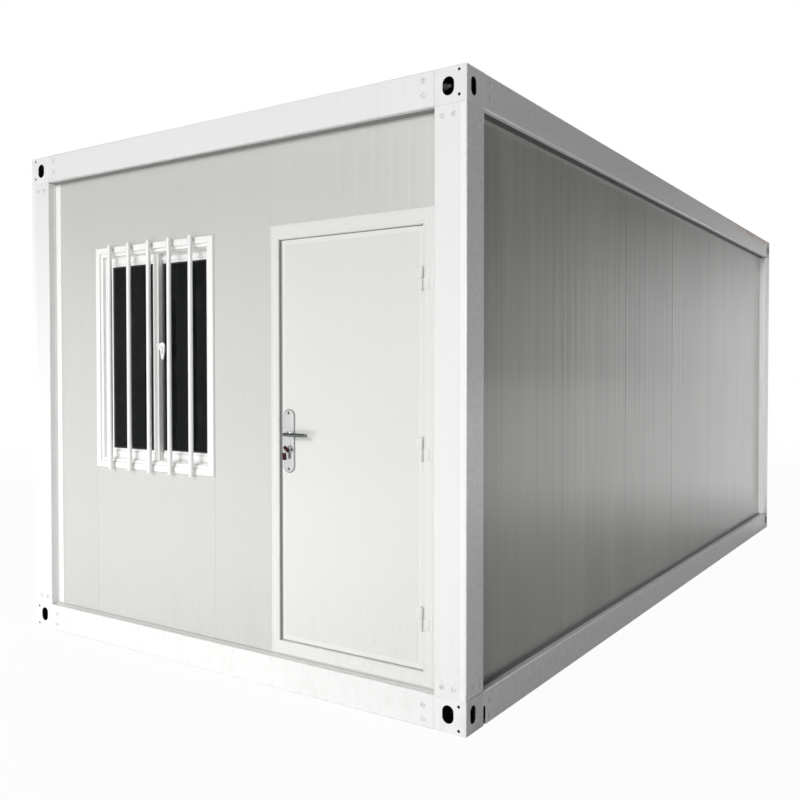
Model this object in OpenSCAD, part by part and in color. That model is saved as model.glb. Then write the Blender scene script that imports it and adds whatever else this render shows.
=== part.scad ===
// Flat-pack office container: a bolted steel corner-post frame with recessed
// sandwich wall panels, one barred sliding window and one outward-opening door.
// The front gable faces -Y, the origin is the centre of the footprint at ground level.

/* [Overall] */
// Width across the front gable
overall_w = 3000; // [2900:50:3600]
// Length from the front gable to the rear gable
overall_l = 5950; // [4400:50:7200]
// Height from the underside of the lower fittings to the top of the upper ones
overall_h = 2800; // [2700:20:3200]

/* [Corner posts and fittings] */
// Width of a post across the gable
post_w = 160; // [140:5:200]
// Depth of a post along the long side
post_d = 150; // [140:5:200]
// Wall thickness of a post
post_wall = 4; // [3:1:8]
// Plate thickness of a corner fitting
fitting_wall = 8; // [6:1:12]
// Width of the oval lifting hole in a fitting
lift_hole_w = 56; // [40:1:62]
// Height of the oval lifting hole in a fitting
lift_hole_h = 78; // [70:1:90]
// Distance from the corner edge to the middle of a lifting hole
lift_hole_inset = 90; // [70:1:95]
// Width of the oval lifting hole in a fitting's long side
side_hole_w = 46; // [40:1:62]
// Distance from the corner edge to the middle of a lifting hole in the long side
side_hole_inset = 58; // [45:1:95]
// Diameter of the small tie holes beside a lifting hole
tie_hole_d = 13; // [8:1:16]
// Distance from the corner edge to the tie holes
tie_hole_inset = 37; // [26:1:42]
// Distance from the outer end of a fitting to the first tie hole
tie_hole_end = 20; // [18:1:26]
// Distance between the two tie holes
tie_hole_pitch = 103; // [95:1:110]

/* [Beams] */
// Height of the roof edge beams
top_beam_h = 155; // [145:5:200]
// Height of the floor edge beams
bottom_beam_h = 150; // [145:5:200]
// Width of the wide flange that carries the wall panels
flange_w = 130; // [126:2:150]
// Width of the narrow outer flange
lip_w = 60; // [40:5:80]
// Sheet thickness of the beams
beam_t = 4; // [3:1:6]
// Width of the open notch at each end of the lower side beams
notch_w = 22; // [10:1:30]
// Height of that notch
notch_h = 84; // [40:2:100]

/* [Roof and floor] */
// Number of roof purlins
purlin_count = 6; // [4:1:8]
// Height of a roof purlin
purlin_h = 100; // [80:5:110]
// Width of a roof purlin or floor joist
joist_w = 40; // [30:5:60]
// Wall thickness of a purlin or joist
joist_wall = 3; // [2:1:4]
// Number of floor joists
joist_count = 11; // [8:1:14]
// Height of a floor joist
joist_h = 80; // [60:5:100]
// Sheet thickness of the roof sheet
roof_t = 2; // [1:0.5:3]
// Height of the ribs in the roof sheet
roof_rib_h = 25; // [15:1:30]
// Distance between the ribs in the roof sheet
roof_rib_pitch = 210; // [150:10:300]
// Overlap of the flat sheet at each end of the roof
roof_lap = 30; // [20:5:50]
// Thickness of the ceiling boards
ceiling_t = 12; // [8:1:20]
// Thickness of the floor board
floor_t = 18; // [12:1:25]

/* [Wall panels] */
// Thickness of a wall panel
panel_t = 75; // [50:5:76]
// Depth of the wall face behind the post and beam faces
wall_recess = 50; // [40:1:54]
// Open joint between neighbouring panels
panel_gap = 2; // [1:0.5:4]
// Number of panels in a long side
side_panel_count = 6; // [4:1:8]
// Number of panels in the rear gable
rear_panel_count = 3; // [2:1:4]

/* [Window] */
// Distance from the left post to the window bay
bay_offset = 370; // [200:1:400]
// Width of the window bay
bay_w = 950; // [900:10:1000]
// Width of the window
window_w = 940; // [880:10:990]
// Height of the window
window_h = 1240; // [1000:10:1300]
// Height of the underside of the window above the ground
window_sill_z = 990; // [900:10:1050]
// Face width of the window frame
window_face = 52; // [40:1:60]
// How far the window frame stands proud of the wall face
window_proud = 8; // [2:1:12]
// Depth of the window frame
window_depth = 86; // [80:1:90]
// Distance from the frame face back to the outer sash
sash_setback = 28; // [20:1:30]
// Thickness of a sash
sash_t = 26; // [22:1:27]
// Face width of a sash
sash_face = 60; // [50:1:70]
// Face width of the two stiles that meet in the middle
meeting_face = 54; // [40:1:70]
// Thickness of the glass
glass_t = 6; // [4:1:8]
// Number of security bars
bar_count = 5; // [3:1:7]
// Distance between neighbouring bars
bar_pitch = 162; // [110:2:200]
// Distance of the middle bar to the right of the window's middle
bar_shift = 6; // [-20:1:20]
// Diameter of a security bar
bar_d = 25; // [14:1:28]
// Length of a security bar
bar_length = 1256; // [1000:2:1320]
// Clear distance from the window frame to the back of the bars
bar_standoff = 10; // [6:1:12]
// Diameter of the feet that hold a bar
bar_foot_d = 14; // [8:1:14]
// Distance from the end of a bar to its foot
bar_foot_inset = 32; // [20:1:44]

/* [Door] */
// Distance from the door frame to the right post
door_offset = 35; // [20:1:120]
// Width of the door frame
door_w = 935; // [900:5:950]
// Height of the door frame above the floor beam
door_h = 2090; // [1900:10:2150]
// Face width of the jambs
jamb_face = 50; // [40:1:60]
// Face height of the frame head
head_face = 70; // [50:1:80]
// Face height of the threshold
threshold_h = 68; // [40:1:80]
// How far the door frame stands proud of the wall face
door_proud = 4; // [2:1:8]
// Depth of the door frame
door_depth = 83; // [80:1:90]
// Distance from the frame face back to the face of the leaf
leaf_setback = 10; // [6:1:12]
// Thickness of the door leaf
leaf_t = 50; // [40:1:50]
// Gap between the leaf and the hinge jamb, head and threshold
leaf_gap = 5; // [5:0.5:7]
// Gap between the leaf and the latch jamb
latch_gap = 10; // [8:0.5:12]
// Width of the stop behind the leaf
stop_w = 14; // [10:1:20]

/* [Hinges] */
// Number of hinges
hinge_count = 3; // [2:1:4]
// Height of a hinge
hinge_h = 100; // [80:2:140]
// Radius of the hinge knuckles
knuckle_r = 7; // [6:0.5:8]
// Diameter of the hinge pins
pin_d = 8; // [6:0.5:9]
// Clearance around a hinge pin
pin_gap = 0.3; // [0.2:0.1:0.5]
// Gap between the knuckles and the frame face
knuckle_gap = 1; // [0.5:0.5:2]
// Width of a hinge plate
hinge_plate_w = 32; // [24:1:40]
// Thickness of a hinge plate
hinge_plate_t = 3; // [2:0.5:4]
// Distance from each end of the leaf to the nearest hinge
hinge_inset = 180; // [120:10:260]

/* [Handle] */
// Distance from the latch edge of the leaf to the spindle
backset = 50; // [48:1:70]
// Height of the spindle above the ground
spindle_z = 1228; // [1000:2:1300]
// Width of a lock plate
plate_w = 62; // [44:1:66]
// Height of a lock plate
plate_h = 300; // [240:5:320]
// Thickness of a lock plate
plate_t = 4; // [3:0.5:6]
// Height of the spindle above the middle of the plate
plate_offset = 33; // [0:1:60]
// Diameter of the spindle
spindle_d = 12; // [8:1:12]
// Clearance around the spindle
spindle_gap = 1.5; // [1:0.25:2]
// Diameter of the neck and grip of a lever
lever_d = 17; // [15.5:0.5:24]
// Distance from the lock plate to the middle of the grip
lever_reach = 36; // [26:1:40]
// Length of a lever from the spindle to its tip
lever_length = 145; // [110:1:150]
// Gap between a lever neck and its lock plate
lever_gap = 0.3; // [0.2:0.1:0.6]

/* [Hidden] */
half_w = overall_w / 2;
half_l = overall_l / 2;
panel_bottom = bottom_beam_h;
top_beam_z = overall_h - top_beam_h;
inner_half_w = half_w - post_w;
inner_half_l = half_l - post_d;
// depth of the inner edge of a wide flange, and the clearance kept beside it
board_gap = 2;
board_inset = flange_w + board_gap;
seat_gap = 0.5;
wall_back = wall_recess + panel_t;
fitting_top_h = top_beam_h;
fitting_bottom_h = bottom_beam_h;
purlin_z = top_beam_z + beam_t;
roof_z = purlin_z + purlin_h;
ceiling_z = purlin_z - ceiling_t;
floor_z = bottom_beam_h - floor_t;
joist_z = floor_z - joist_h;
sheet_gap = 3;
rib_slope = 20;
rib_crest = 40;
lift_hole_end = 80;
round_fn = 48;
cut_over = 10;

// window and door in the front gable
wall_front_y = -half_l + wall_recess;
bay_x = -inner_half_w + bay_offset;
bay_end_x = bay_x + bay_w;
window_x = bay_x + (bay_w - window_w) / 2;
window_top_z = window_sill_z + window_h;
window_y = wall_front_y - window_proud;
window_mid_x = window_x + window_w / 2;
sash_front_y = window_y + sash_setback;
sash_rear_y = sash_front_y + sash_t + board_gap;
sash_w = (window_w - 2 * window_face + meeting_face) / 2;
sash_glass_w = sash_w - sash_face - meeting_face;
sash_h = window_h - 2 * window_face;
sash_z = window_sill_z + window_face;
outer_sash_x = window_x + window_face;
inner_sash_x = window_x + window_w - window_face - sash_w;
bar_x = window_mid_x + bar_shift;
bar_y = window_y - bar_standoff - bar_d / 2;
bar_bottom_z = window_sill_z + (window_h - bar_length) / 2;

door_end_x = inner_half_w - door_offset;
door_x = door_end_x - door_w;
door_top_z = panel_bottom + door_h;
door_y = wall_front_y - door_proud;
door_back_y = door_y + door_depth;
leaf_x = door_x + jamb_face + latch_gap;
leaf_end_x = door_end_x - jamb_face - leaf_gap;
leaf_w = leaf_end_x - leaf_x;
leaf_z = panel_bottom + threshold_h + leaf_gap;
leaf_top_z = door_top_z - head_face - leaf_gap;
leaf_y = door_y + leaf_setback;
stop_y = leaf_y + leaf_t + leaf_gap;
hinge_x = leaf_end_x + leaf_gap / 2;
hinge_y = door_y - knuckle_gap - knuckle_r;
knuckle_h = hinge_h / 2 - seat_gap;
hinge_step = (leaf_top_z - leaf_z - 2 * hinge_inset - hinge_h) / (hinge_count - 1);
spindle_x = leaf_x + backset;
plate_z = spindle_z - plate_offset;

// a box between two opposite corners
module block(low, high) {
    translate(low) cube(high - low);
}

// draws its children turned to one of the four corners, from the front right one
module at_corner(side, end) {
    mirror([side > 0 ? 0 : 1, 0, 0]) mirror([0, end > 0 ? 1 : 0, 0]) children();
}

// an upright oval prism along Y, centred on the origin
module oval_prism(w, h, depth) {
    rotate([90, 0, 0]) {
        for (end = [-1, 1])
            translate([0, end * (h - w) / 2, 0])
                cylinder(d = w, h = depth, center = true, $fn = round_fn);
        cube([w, h - w, depth], center = true);
    }
}

// hollow post at the front right corner
module post(side, end) {
    color("white") at_corner(side, end) difference() {
        block([inner_half_w, -half_l, bottom_beam_h], [half_w, -inner_half_l, top_beam_z]);
        block([inner_half_w + post_wall, -half_l + post_wall, bottom_beam_h - cut_over],
              [half_w - post_wall, -inner_half_l - post_wall, top_beam_z + cut_over]);
    }
}

// hollow corner box with oval holes in its two outer faces and its outer end
module corner_box(height, lift_z, tie_z, tie_step, end_low, end_high) {
    difference() {
        block([inner_half_w, -half_l, 0], [half_w, -inner_half_l, height]);
        block([inner_half_w + fitting_wall, -half_l + fitting_wall, fitting_wall],
              [half_w - fitting_wall, -inner_half_l - fitting_wall, height - fitting_wall]);
        translate([half_w - lift_hole_inset, -half_l, lift_z])
            oval_prism(lift_hole_w, lift_hole_h, 4 * fitting_wall - cut_over);
        translate([half_w, -half_l + side_hole_inset, lift_z])
            rotate([0, 0, 90]) oval_prism(side_hole_w, lift_hole_h, 4 * fitting_wall - cut_over);
        translate([half_w - post_w / 2, -half_l + post_d / 2, (end_low + end_high) / 2])
            rotate([90, 0, 0]) oval_prism(lift_hole_w, lift_hole_h, end_high - end_low);
        for (step = [0, 1])
            translate([half_w - tie_hole_inset, -half_l, tie_z + step * tie_step])
                rotate([90, 0, 0]) cylinder(d = tie_hole_d, h = 4 * fitting_wall - cut_over, center = true, $fn = round_fn);
    }
}

// fitting under the end of a post, with its oval end hole facing down
module base_fitting(side, end) {
    color("white") at_corner(side, end)
        corner_box(fitting_bottom_h, lift_hole_end, tie_hole_end, tie_hole_pitch, -cut_over, fitting_wall + 1);
}

// fitting on top of a post, with its oval end hole facing up
module top_fitting(side, end) {
    color("white") at_corner(side, end) translate([0, 0, top_beam_z])
        corner_box(fitting_top_h, fitting_top_h - lift_hole_end, fitting_top_h - tie_hole_end, -tie_hole_pitch,
                   fitting_top_h - fitting_wall - 1, fitting_top_h + cut_over);
}

// channel outline: depth inwards from the beam face, then height
function channel(height, low_w, high_w) = [
    [0, 0], [low_w, 0], [low_w, beam_t], [beam_t, beam_t],
    [beam_t, height - beam_t], [high_w, height - beam_t], [high_w, height], [0, height]
];

// channel beam along X on the front gable, its web facing -Y
module gable_beam(z, height, low_w, high_w) {
    translate([-inner_half_w, -half_l, z]) rotate([90, 0, 90])
        linear_extrude(height = 2 * inner_half_w) polygon(channel(height, low_w, high_w));
}

// channel beam along Y on the right side, its web facing +X
module side_beam(z, height, low_w, high_w) {
    translate([half_w, inner_half_l, z]) rotate([90, 0, 0]) mirror([1, 0, 0])
        linear_extrude(height = 2 * inner_half_l) polygon(channel(height, low_w, high_w));
}

module top_beam_gable(end) {
    color("white") mirror([0, end > 0 ? 1 : 0, 0]) gable_beam(top_beam_z, top_beam_h, flange_w, lip_w);
}

module top_beam_side(side) {
    color("white") mirror([side > 0 ? 0 : 1, 0, 0]) side_beam(top_beam_z, top_beam_h, flange_w, lip_w);
}

module base_beam_gable(end) {
    color("white") mirror([0, end > 0 ? 1 : 0, 0]) gable_beam(0, bottom_beam_h, lip_w, flange_w);
}

module base_beam_side(side) {
    color("white") mirror([side > 0 ? 0 : 1, 0, 0]) difference() {
        side_beam(0, bottom_beam_h, lip_w, flange_w);
        for (end = [-1, 1])
            translate([half_w, end * (inner_half_l - notch_w / 2), (notch_h - cut_over) / 2])
                cube([4 * beam_t, notch_w, notch_h + cut_over], center = true);
    }
}

// hollow bar along X between the webs of the side beams
module cross_tube(y, z, height) {
    reach = half_w - beam_t;
    difference() {
        block([-reach, y - joist_w / 2, z], [reach, y + joist_w / 2, z + height]);
        block([-reach - cut_over, y - joist_w / 2 + joist_wall, z + joist_wall],
              [reach + cut_over, y + joist_w / 2 - joist_wall, z + height - joist_wall]);
    }
}

module roof_purlins() {
    pitch = 2 * inner_half_l / purlin_count;
    color("silver") for (i = [0 : purlin_count - 1])
        cross_tube(-inner_half_l + (i + 0.5) * pitch, purlin_z, purlin_h);
}

module floor_joists() {
    pitch = 2 * inner_half_l / joist_count;
    color("silver") for (i = [0 : joist_count - 1])
        cross_tube(-inner_half_l + (i + 0.5) * pitch, joist_z, joist_h);
}

// the four corner fittings with a clearance, cut out of sheets and boards
module corner_clearance(z, height, gap) {
    for (side = [-1, 1], end = [-1, 1])
        translate([side * (half_w - post_w / 2), end * (half_l - post_d / 2), z + height / 2])
            cube([post_w + 2 * gap, post_d + 2 * gap, height + 2 * cut_over], center = true);
}

// one rib of the roof sheet's upper outline, starting at y
function rib(y, lift) = [
    [y, lift], [y + rib_slope, lift + roof_rib_h],
    [y + rib_slope + rib_crest, lift + roof_rib_h], [y + 2 * rib_slope + rib_crest, lift]
];

// ribbed sheet with its ribs across the building, and a flat sheet lapped over each
// end of it that fills the space between the corner fittings
module roof_sheet() {
    reach = inner_half_l - sheet_gap;
    half_span = half_w - beam_t - sheet_gap;
    valley = roof_rib_pitch - 2 * rib_slope - rib_crest;
    ribs = floor((2 * (reach - roof_lap) + valley) / roof_rib_pitch);
    first = (valley - ribs * roof_rib_pitch) / 2;
    low = [for (i = [0 : ribs - 1]) each rib(first + i * roof_rib_pitch, 0)];
    high = [for (i = [ribs - 1 : -1 : 0]) let (r = rib(first + i * roof_rib_pitch, roof_t)) each [r[3], r[2], r[1], r[0]]];
    color("lightgray") {
        translate([-half_span, 0, roof_z]) rotate([90, 0, 90]) linear_extrude(height = 2 * half_span)
            polygon(concat([[-reach, 0]], low, [[reach, 0], [reach, roof_t]], high, [[-reach, roof_t]]));
        for (end = [-1, 1]) mirror([0, end > 0 ? 1 : 0, 0])
            block([sheet_gap - inner_half_w, beam_t + sheet_gap - half_l, roof_z + roof_t + seat_gap],
                  [inner_half_w - sheet_gap, roof_lap - reach, roof_z + 2 * roof_t + seat_gap]);
    }
}

module ceiling() {
    color("white") difference() {
        block([board_inset - half_w, board_inset - half_l, ceiling_z],
              [half_w - board_inset, half_l - board_inset, purlin_z]);
        corner_clearance(ceiling_z, ceiling_t, board_gap);
    }
}

module floor_board() {
    color("gray") difference() {
        block([board_inset - half_w, board_inset - half_l, floor_z],
              [half_w - board_inset, half_l - board_inset, bottom_beam_h]);
        corner_clearance(floor_z, floor_t, board_gap);
    }
}

// row of equal panels between two ends, each drawn from [0, 0, 0]
module side_wall(side) {
    span = 2 * inner_half_l;
    pitch = (span - panel_gap) / side_panel_count;
    color("gainsboro") mirror([side > 0 ? 0 : 1, 0, 0]) for (i = [0 : side_panel_count - 1])
        translate([half_w - wall_back, -inner_half_l + panel_gap + i * pitch, panel_bottom])
            cube([panel_t, pitch - panel_gap, top_beam_z - panel_bottom - seat_gap]);
}

module rear_wall() {
    span = 2 * inner_half_w;
    pitch = (span - panel_gap) / rear_panel_count;
    color("gainsboro") for (i = [0 : rear_panel_count - 1])
        translate([-inner_half_w + panel_gap + i * pitch, half_l - wall_back, panel_bottom])
            cube([pitch - panel_gap, panel_t, top_beam_z - panel_bottom - seat_gap]);
}

// one panel of the front gable between two places along X and two heights
module front_panel(x_low, x_high, z_low, z_high) {
    color("gainsboro") block([x_low, wall_front_y, z_low], [x_high, wall_front_y + panel_t, z_high]);
}

module front_wall_left() {
    front_panel(-inner_half_w + panel_gap, bay_x - panel_gap, panel_bottom, top_beam_z - seat_gap);
}

module wall_below_window() {
    front_panel(bay_x, bay_end_x, panel_bottom, window_sill_z);
}

module wall_above_window() {
    front_panel(bay_x, bay_end_x, window_top_z, top_beam_z - seat_gap);
}

module front_wall_middle() {
    front_panel(bay_end_x + panel_gap, door_x - panel_gap, panel_bottom, top_beam_z - seat_gap);
}

module wall_above_door() {
    front_panel(door_x, inner_half_w - panel_gap, door_top_z, top_beam_z - seat_gap);
}

module front_wall_right() {
    front_panel(door_end_x + panel_gap, inner_half_w - panel_gap, panel_bottom, door_top_z);
}

// rectangular ring standing in a wall, from its lower left front corner; left is the
// face width of its left upright
module ring(w, h, left, right, face, depth) {
    difference() {
        cube([w, depth, h]);
        translate([left, -cut_over, face]) cube([w - left - right, depth + 2 * cut_over, h - 2 * face]);
    }
}

module window_frame() {
    color("white") translate([window_x, window_y, window_sill_z])
        ring(window_w, window_h, window_face, window_face, window_face, window_depth);
}

module outer_sash() {
    color("white") translate([outer_sash_x, sash_front_y, sash_z])
        ring(sash_w, sash_h, sash_face, meeting_face, sash_face, sash_t);
}

module inner_sash() {
    color("white") translate([inner_sash_x, sash_rear_y, sash_z])
        ring(sash_w, sash_h, meeting_face, sash_face, sash_face, sash_t);
}

// one pane in each sash
module window_glass() {
    color("darkslategray") for (pane = [[outer_sash_x + sash_face, sash_front_y],
                                        [inner_sash_x + meeting_face, sash_rear_y]])
        translate([pane[0], pane[1] + (sash_t - glass_t) / 2, sash_z + sash_face])
            cube([sash_glass_w, glass_t, sash_h - 2 * sash_face]);
}

// upright round bars on short feet
module security_bars() {
    color("white") for (i = [0 : bar_count - 1])
        translate([bar_x + (i - (bar_count - 1) / 2) * bar_pitch, bar_y, bar_bottom_z]) {
            cylinder(d = bar_d, h = bar_length, $fn = round_fn);
            for (z = [bar_foot_inset, bar_length - bar_foot_inset])
                translate([0, 0, z]) rotate([-90, 0, 0])
                    cylinder(d = bar_foot_d, h = bar_standoff + bar_d / 2, $fn = round_fn);
        }
}

// door frame with a stop all round behind the leaf
module door_frame() {
    color("white") difference() {
        block([door_x, door_y, panel_bottom], [door_end_x, door_back_y, door_top_z]);
        block([door_x + jamb_face, door_y - cut_over, panel_bottom + threshold_h],
              [door_end_x - jamb_face, stop_y, door_top_z - head_face]);
        block([door_x + jamb_face + stop_w, stop_y - cut_over, panel_bottom + threshold_h + stop_w],
              [door_end_x - jamb_face - stop_w, door_back_y + cut_over, door_top_z - head_face - stop_w]);
    }
}

module door_leaf() {
    color("whitesmoke") difference() {
        block([leaf_x, leaf_y, leaf_z], [leaf_end_x, leaf_y + leaf_t, leaf_top_z]);
        translate([spindle_x, leaf_y + leaf_t / 2, spindle_z]) rotate([90, 0, 0])
            cylinder(d = spindle_d + 2 * spindle_gap, h = leaf_t + 2 * cut_over, center = true, $fn = round_fn);
    }
}

// places its children at the foot of each hinge, on the hinge line
module at_hinges() {
    for (i = [0 : hinge_count - 1])
        translate([hinge_x, hinge_y, leaf_z + hinge_inset + i * hinge_step]) children();
}

// lower knuckle with its pin and its plate on the jamb
module frame_hinges() {
    plate_x = leaf_gap / 2 + 1;
    color("silver") at_hinges() {
        cylinder(r = knuckle_r, h = knuckle_h, $fn = round_fn);
        cylinder(d = pin_d, h = hinge_h - 2 * seat_gap, $fn = round_fn);
        block([0, knuckle_r + knuckle_gap - hinge_plate_t, 0],
              [plate_x + hinge_plate_w, knuckle_r + knuckle_gap, knuckle_h]);
    }
}

// upper knuckle with its bore, its web and its plate on the leaf
module leaf_hinges() {
    web_x = leaf_gap / 2 + hinge_plate_t / 2;
    face_y = knuckle_r + knuckle_gap + leaf_setback;
    color("silver") at_hinges() translate([0, 0, hinge_h - knuckle_h]) difference() {
        union() {
            cylinder(r = knuckle_r, h = knuckle_h, $fn = round_fn);
            block([-web_x - hinge_plate_t, 0, 0], [-web_x, face_y, knuckle_h]);
            block([-web_x - hinge_plate_w, face_y - hinge_plate_t, 0], [-web_x, face_y, knuckle_h]);
        }
        translate([0, 0, -cut_over])
            cylinder(d = pin_d + 2 * pin_gap, h = knuckle_h + 2 * cut_over, $fn = round_fn);
    }
}

// long plate with round ends on each face of the leaf
module lock_plates() {
    color("silver") for (y = [leaf_y - plate_t, leaf_y + leaf_t]) difference() {
        translate([spindle_x, y + plate_t / 2, plate_z]) oval_prism(plate_w, plate_h, plate_t);
        translate([spindle_x, y + plate_t / 2, spindle_z]) rotate([90, 0, 0])
            cylinder(d = spindle_d + 2 * spindle_gap, h = plate_t + 2 * cut_over, center = true, $fn = round_fn);
    }
}

// a lever on each face, joined by the spindle
module door_handle() {
    neck_y = plate_t + lever_gap;
    grip_y = plate_t + lever_reach;
    color("silver") translate([spindle_x, leaf_y + leaf_t / 2, spindle_z]) {
        rotate([90, 0, 0]) cylinder(d = spindle_d, h = leaf_t + 2 * grip_y, center = true, $fn = round_fn);
        for (face = [-1, 1]) {
            translate([0, face * (leaf_t / 2 + (neck_y + grip_y) / 2), 0]) rotate([90, 0, 0])
                cylinder(d = lever_d, h = grip_y - neck_y, center = true, $fn = round_fn);
            translate([0, face * (leaf_t / 2 + grip_y), 0]) {
                sphere(d = lever_d, $fn = round_fn);
                rotate([0, 90, 0]) cylinder(d = lever_d, h = lever_length - lever_d / 2, $fn = round_fn);
                translate([lever_length - lever_d / 2, 0, 0]) sphere(d = lever_d, $fn = round_fn);
            }
        }
    }
}

post(-1, -1);  // post_front_left
post(1, -1);  // post_front_right
post(-1, 1);  // post_rear_left
post(1, 1);  // post_rear_right
top_fitting(-1, -1);  // top_fitting_front_left
top_fitting(1, -1);  // top_fitting_front_right
top_fitting(-1, 1);  // top_fitting_rear_left
top_fitting(1, 1);  // top_fitting_rear_right
base_fitting(-1, -1);  // base_fitting_front_left
base_fitting(1, -1);  // base_fitting_front_right
base_fitting(-1, 1);  // base_fitting_rear_left
base_fitting(1, 1);  // base_fitting_rear_right
top_beam_gable(-1);  // top_beam_front
top_beam_gable(1);  // top_beam_rear
top_beam_side(-1);  // top_beam_left
top_beam_side(1);  // top_beam_right
base_beam_gable(-1);  // base_beam_front
base_beam_gable(1);  // base_beam_rear
base_beam_side(-1);  // base_beam_left
base_beam_side(1);  // base_beam_right
roof_purlins();
roof_sheet();
ceiling();
floor_joists();
floor_board();
side_wall(-1);  // left_wall
side_wall(1);  // right_wall
rear_wall();
front_wall_left();
front_wall_middle();
front_wall_right();
wall_below_window();
wall_above_window();
wall_above_door();
window_frame();
outer_sash();
inner_sash();
window_glass();
security_bars();
door_frame();
door_leaf();
frame_hinges();
leaf_hinges();
lock_plates();
door_handle();
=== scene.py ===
"""Office container: a flat-pack steel cabin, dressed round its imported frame."""

import math
import random

import bmesh
import bpy
from bpy.props import FloatProperty, FloatVectorProperty, IntProperty, PointerProperty
from mathutils import Matrix, Vector


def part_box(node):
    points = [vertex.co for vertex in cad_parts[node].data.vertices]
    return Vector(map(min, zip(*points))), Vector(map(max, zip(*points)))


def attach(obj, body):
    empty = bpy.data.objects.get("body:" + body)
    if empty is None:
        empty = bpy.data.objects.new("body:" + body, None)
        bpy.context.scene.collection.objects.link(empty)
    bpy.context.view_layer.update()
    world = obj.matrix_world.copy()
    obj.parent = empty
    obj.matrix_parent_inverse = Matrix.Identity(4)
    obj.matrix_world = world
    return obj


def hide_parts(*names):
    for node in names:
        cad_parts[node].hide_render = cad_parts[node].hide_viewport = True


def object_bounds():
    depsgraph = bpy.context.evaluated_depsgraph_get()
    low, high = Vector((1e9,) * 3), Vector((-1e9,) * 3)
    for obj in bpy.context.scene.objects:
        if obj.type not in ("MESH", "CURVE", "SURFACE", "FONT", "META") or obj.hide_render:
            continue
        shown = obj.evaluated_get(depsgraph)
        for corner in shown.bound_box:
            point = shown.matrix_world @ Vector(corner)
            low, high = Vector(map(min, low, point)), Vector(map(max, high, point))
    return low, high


bl_info = {
    "name": "Office container",
    "version": (1, 0, 0),
    "blender": (4, 5, 0),
    "location": "View3D > Sidebar > Container",
    "description": "Dresses the packed frame of a flat-pack office container",
    "category": "Add Mesh",
}

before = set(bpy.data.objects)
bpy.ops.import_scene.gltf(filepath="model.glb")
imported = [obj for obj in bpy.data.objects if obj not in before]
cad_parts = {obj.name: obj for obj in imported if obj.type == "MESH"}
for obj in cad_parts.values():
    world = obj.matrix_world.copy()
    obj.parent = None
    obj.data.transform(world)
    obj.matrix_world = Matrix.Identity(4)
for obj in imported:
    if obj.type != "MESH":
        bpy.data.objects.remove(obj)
CAD_LOW, CAD_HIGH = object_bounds()

MM = 0.001
TINY = 1e-5
# Two directions whose unit vectors have a larger dot product than this are parallel.
PARALLEL = 0.9999
# Two faces that turn by more than this, in radians, meet at a corner and not at a bend.
CORNER_TURN = 1.0
# The turn in degrees that takes a front part to each side.
SIDES = {"front": 0, "right": 90, "rear": 180, "left": 270}
CORNERS = ("front_left", "front_right", "rear_left", "rear_right")


# ---------------------------------------------------------------- settings


def length(name, description, millimetres, low=0.1, high=500.0):
    """A length a user may change, given here in millimetres."""
    limits = {"default": millimetres * MM, "min": low * MM, "max": high * MM}
    return FloatProperty(name=name, description=description, precision=4, unit="LENGTH", **limits)


def colour(name, description, *shade):
    """A colour a user may change."""
    limits = {"default": shade, "size": 3, "min": 0.0, "max": 1.0}
    return FloatVectorProperty(name=name, description=description, subtype="COLOR", **limits)


class ContainerSizes(bpy.types.PropertyGroup):
    """Sizes of the parts that dress the frame."""

    bend_radius: length("Bend radius", "Outer radius of the folded beams and posts", 5, 1, 8)
    edge_radius: length("Edge radius", "Rounding of the cut edges of the steel", 0.8, 0.2, 1.5)
    cast_radius: length("Fitting radius", "Rounding of the corner fittings", 3, 1, 5)
    foot_gap: length("Foot gap", "Height of the seam between a post and its lower fitting", 3, 1, 10)
    head_gap: length("Head gap", "Height of the seam between a post and its upper fitting", 3, 1, 10)
    bolt_radius: length("Bolt radius", "Radius of the frame bolts' heads", 10, 4, 12)
    recess_radius: length("Recess radius", "Radius of the recess that holds a bolt head", 12.8, 6, 16)
    recess_depth: length("Recess depth", "Depth of the recess that holds a bolt head", 3, 1, 3.5)
    rib_pitch: length("Rib pitch", "Distance between the grooves pressed into a wall panel", 94, 40, 300)
    groove_floor: length("Groove floor", "Width of the bottom of a groove", 20, 5, 60)
    groove_slope: length("Groove slope", "Width of each side of a groove", 8, 2, 30)
    groove_depth: length("Groove depth", "Depth of the grooves in a panel's outer skin", 0.35, 0.2, 4)
    front_groove_depth: length("Front groove depth", "Depth of the front panels' grooves", 0.3, 0.1, 4)
    joint_radius: length("Joint radius", "Rounding of a panel's long edges", 1.2, 0.5, 6)
    trim_width: length("Trim width", "Width of the white corner trims", 43, 30, 120)
    trim_thickness: length("Trim thickness", "Thickness of the trims' sheet", 2, 0.5, 4)
    sill_seal: length("Ledge seal", "Width of the sealing strip on the lower ledge", 19, 10, 45)
    bar_radius: length("Bar radius", "Radius of the security bars", 12.5, 6, 14)
    leaf_edging: length("Leaf edging", "Width of the profile round the door leaf", 27, 10, 60)
    roof_screw_pitch: length("Roof screw pitch", "Distance between the roof's screws", 420, 150, 500)
    skirting_height: length("Skirting height", "Height of the skirting inside", 70, 30, 150)
    turning_steps: IntProperty(
        name="Turning steps",
        description="Sides of the turned pieces, such as the bars and the handles",
        default=28,
        min=12,
        max=64,
    )


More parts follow.
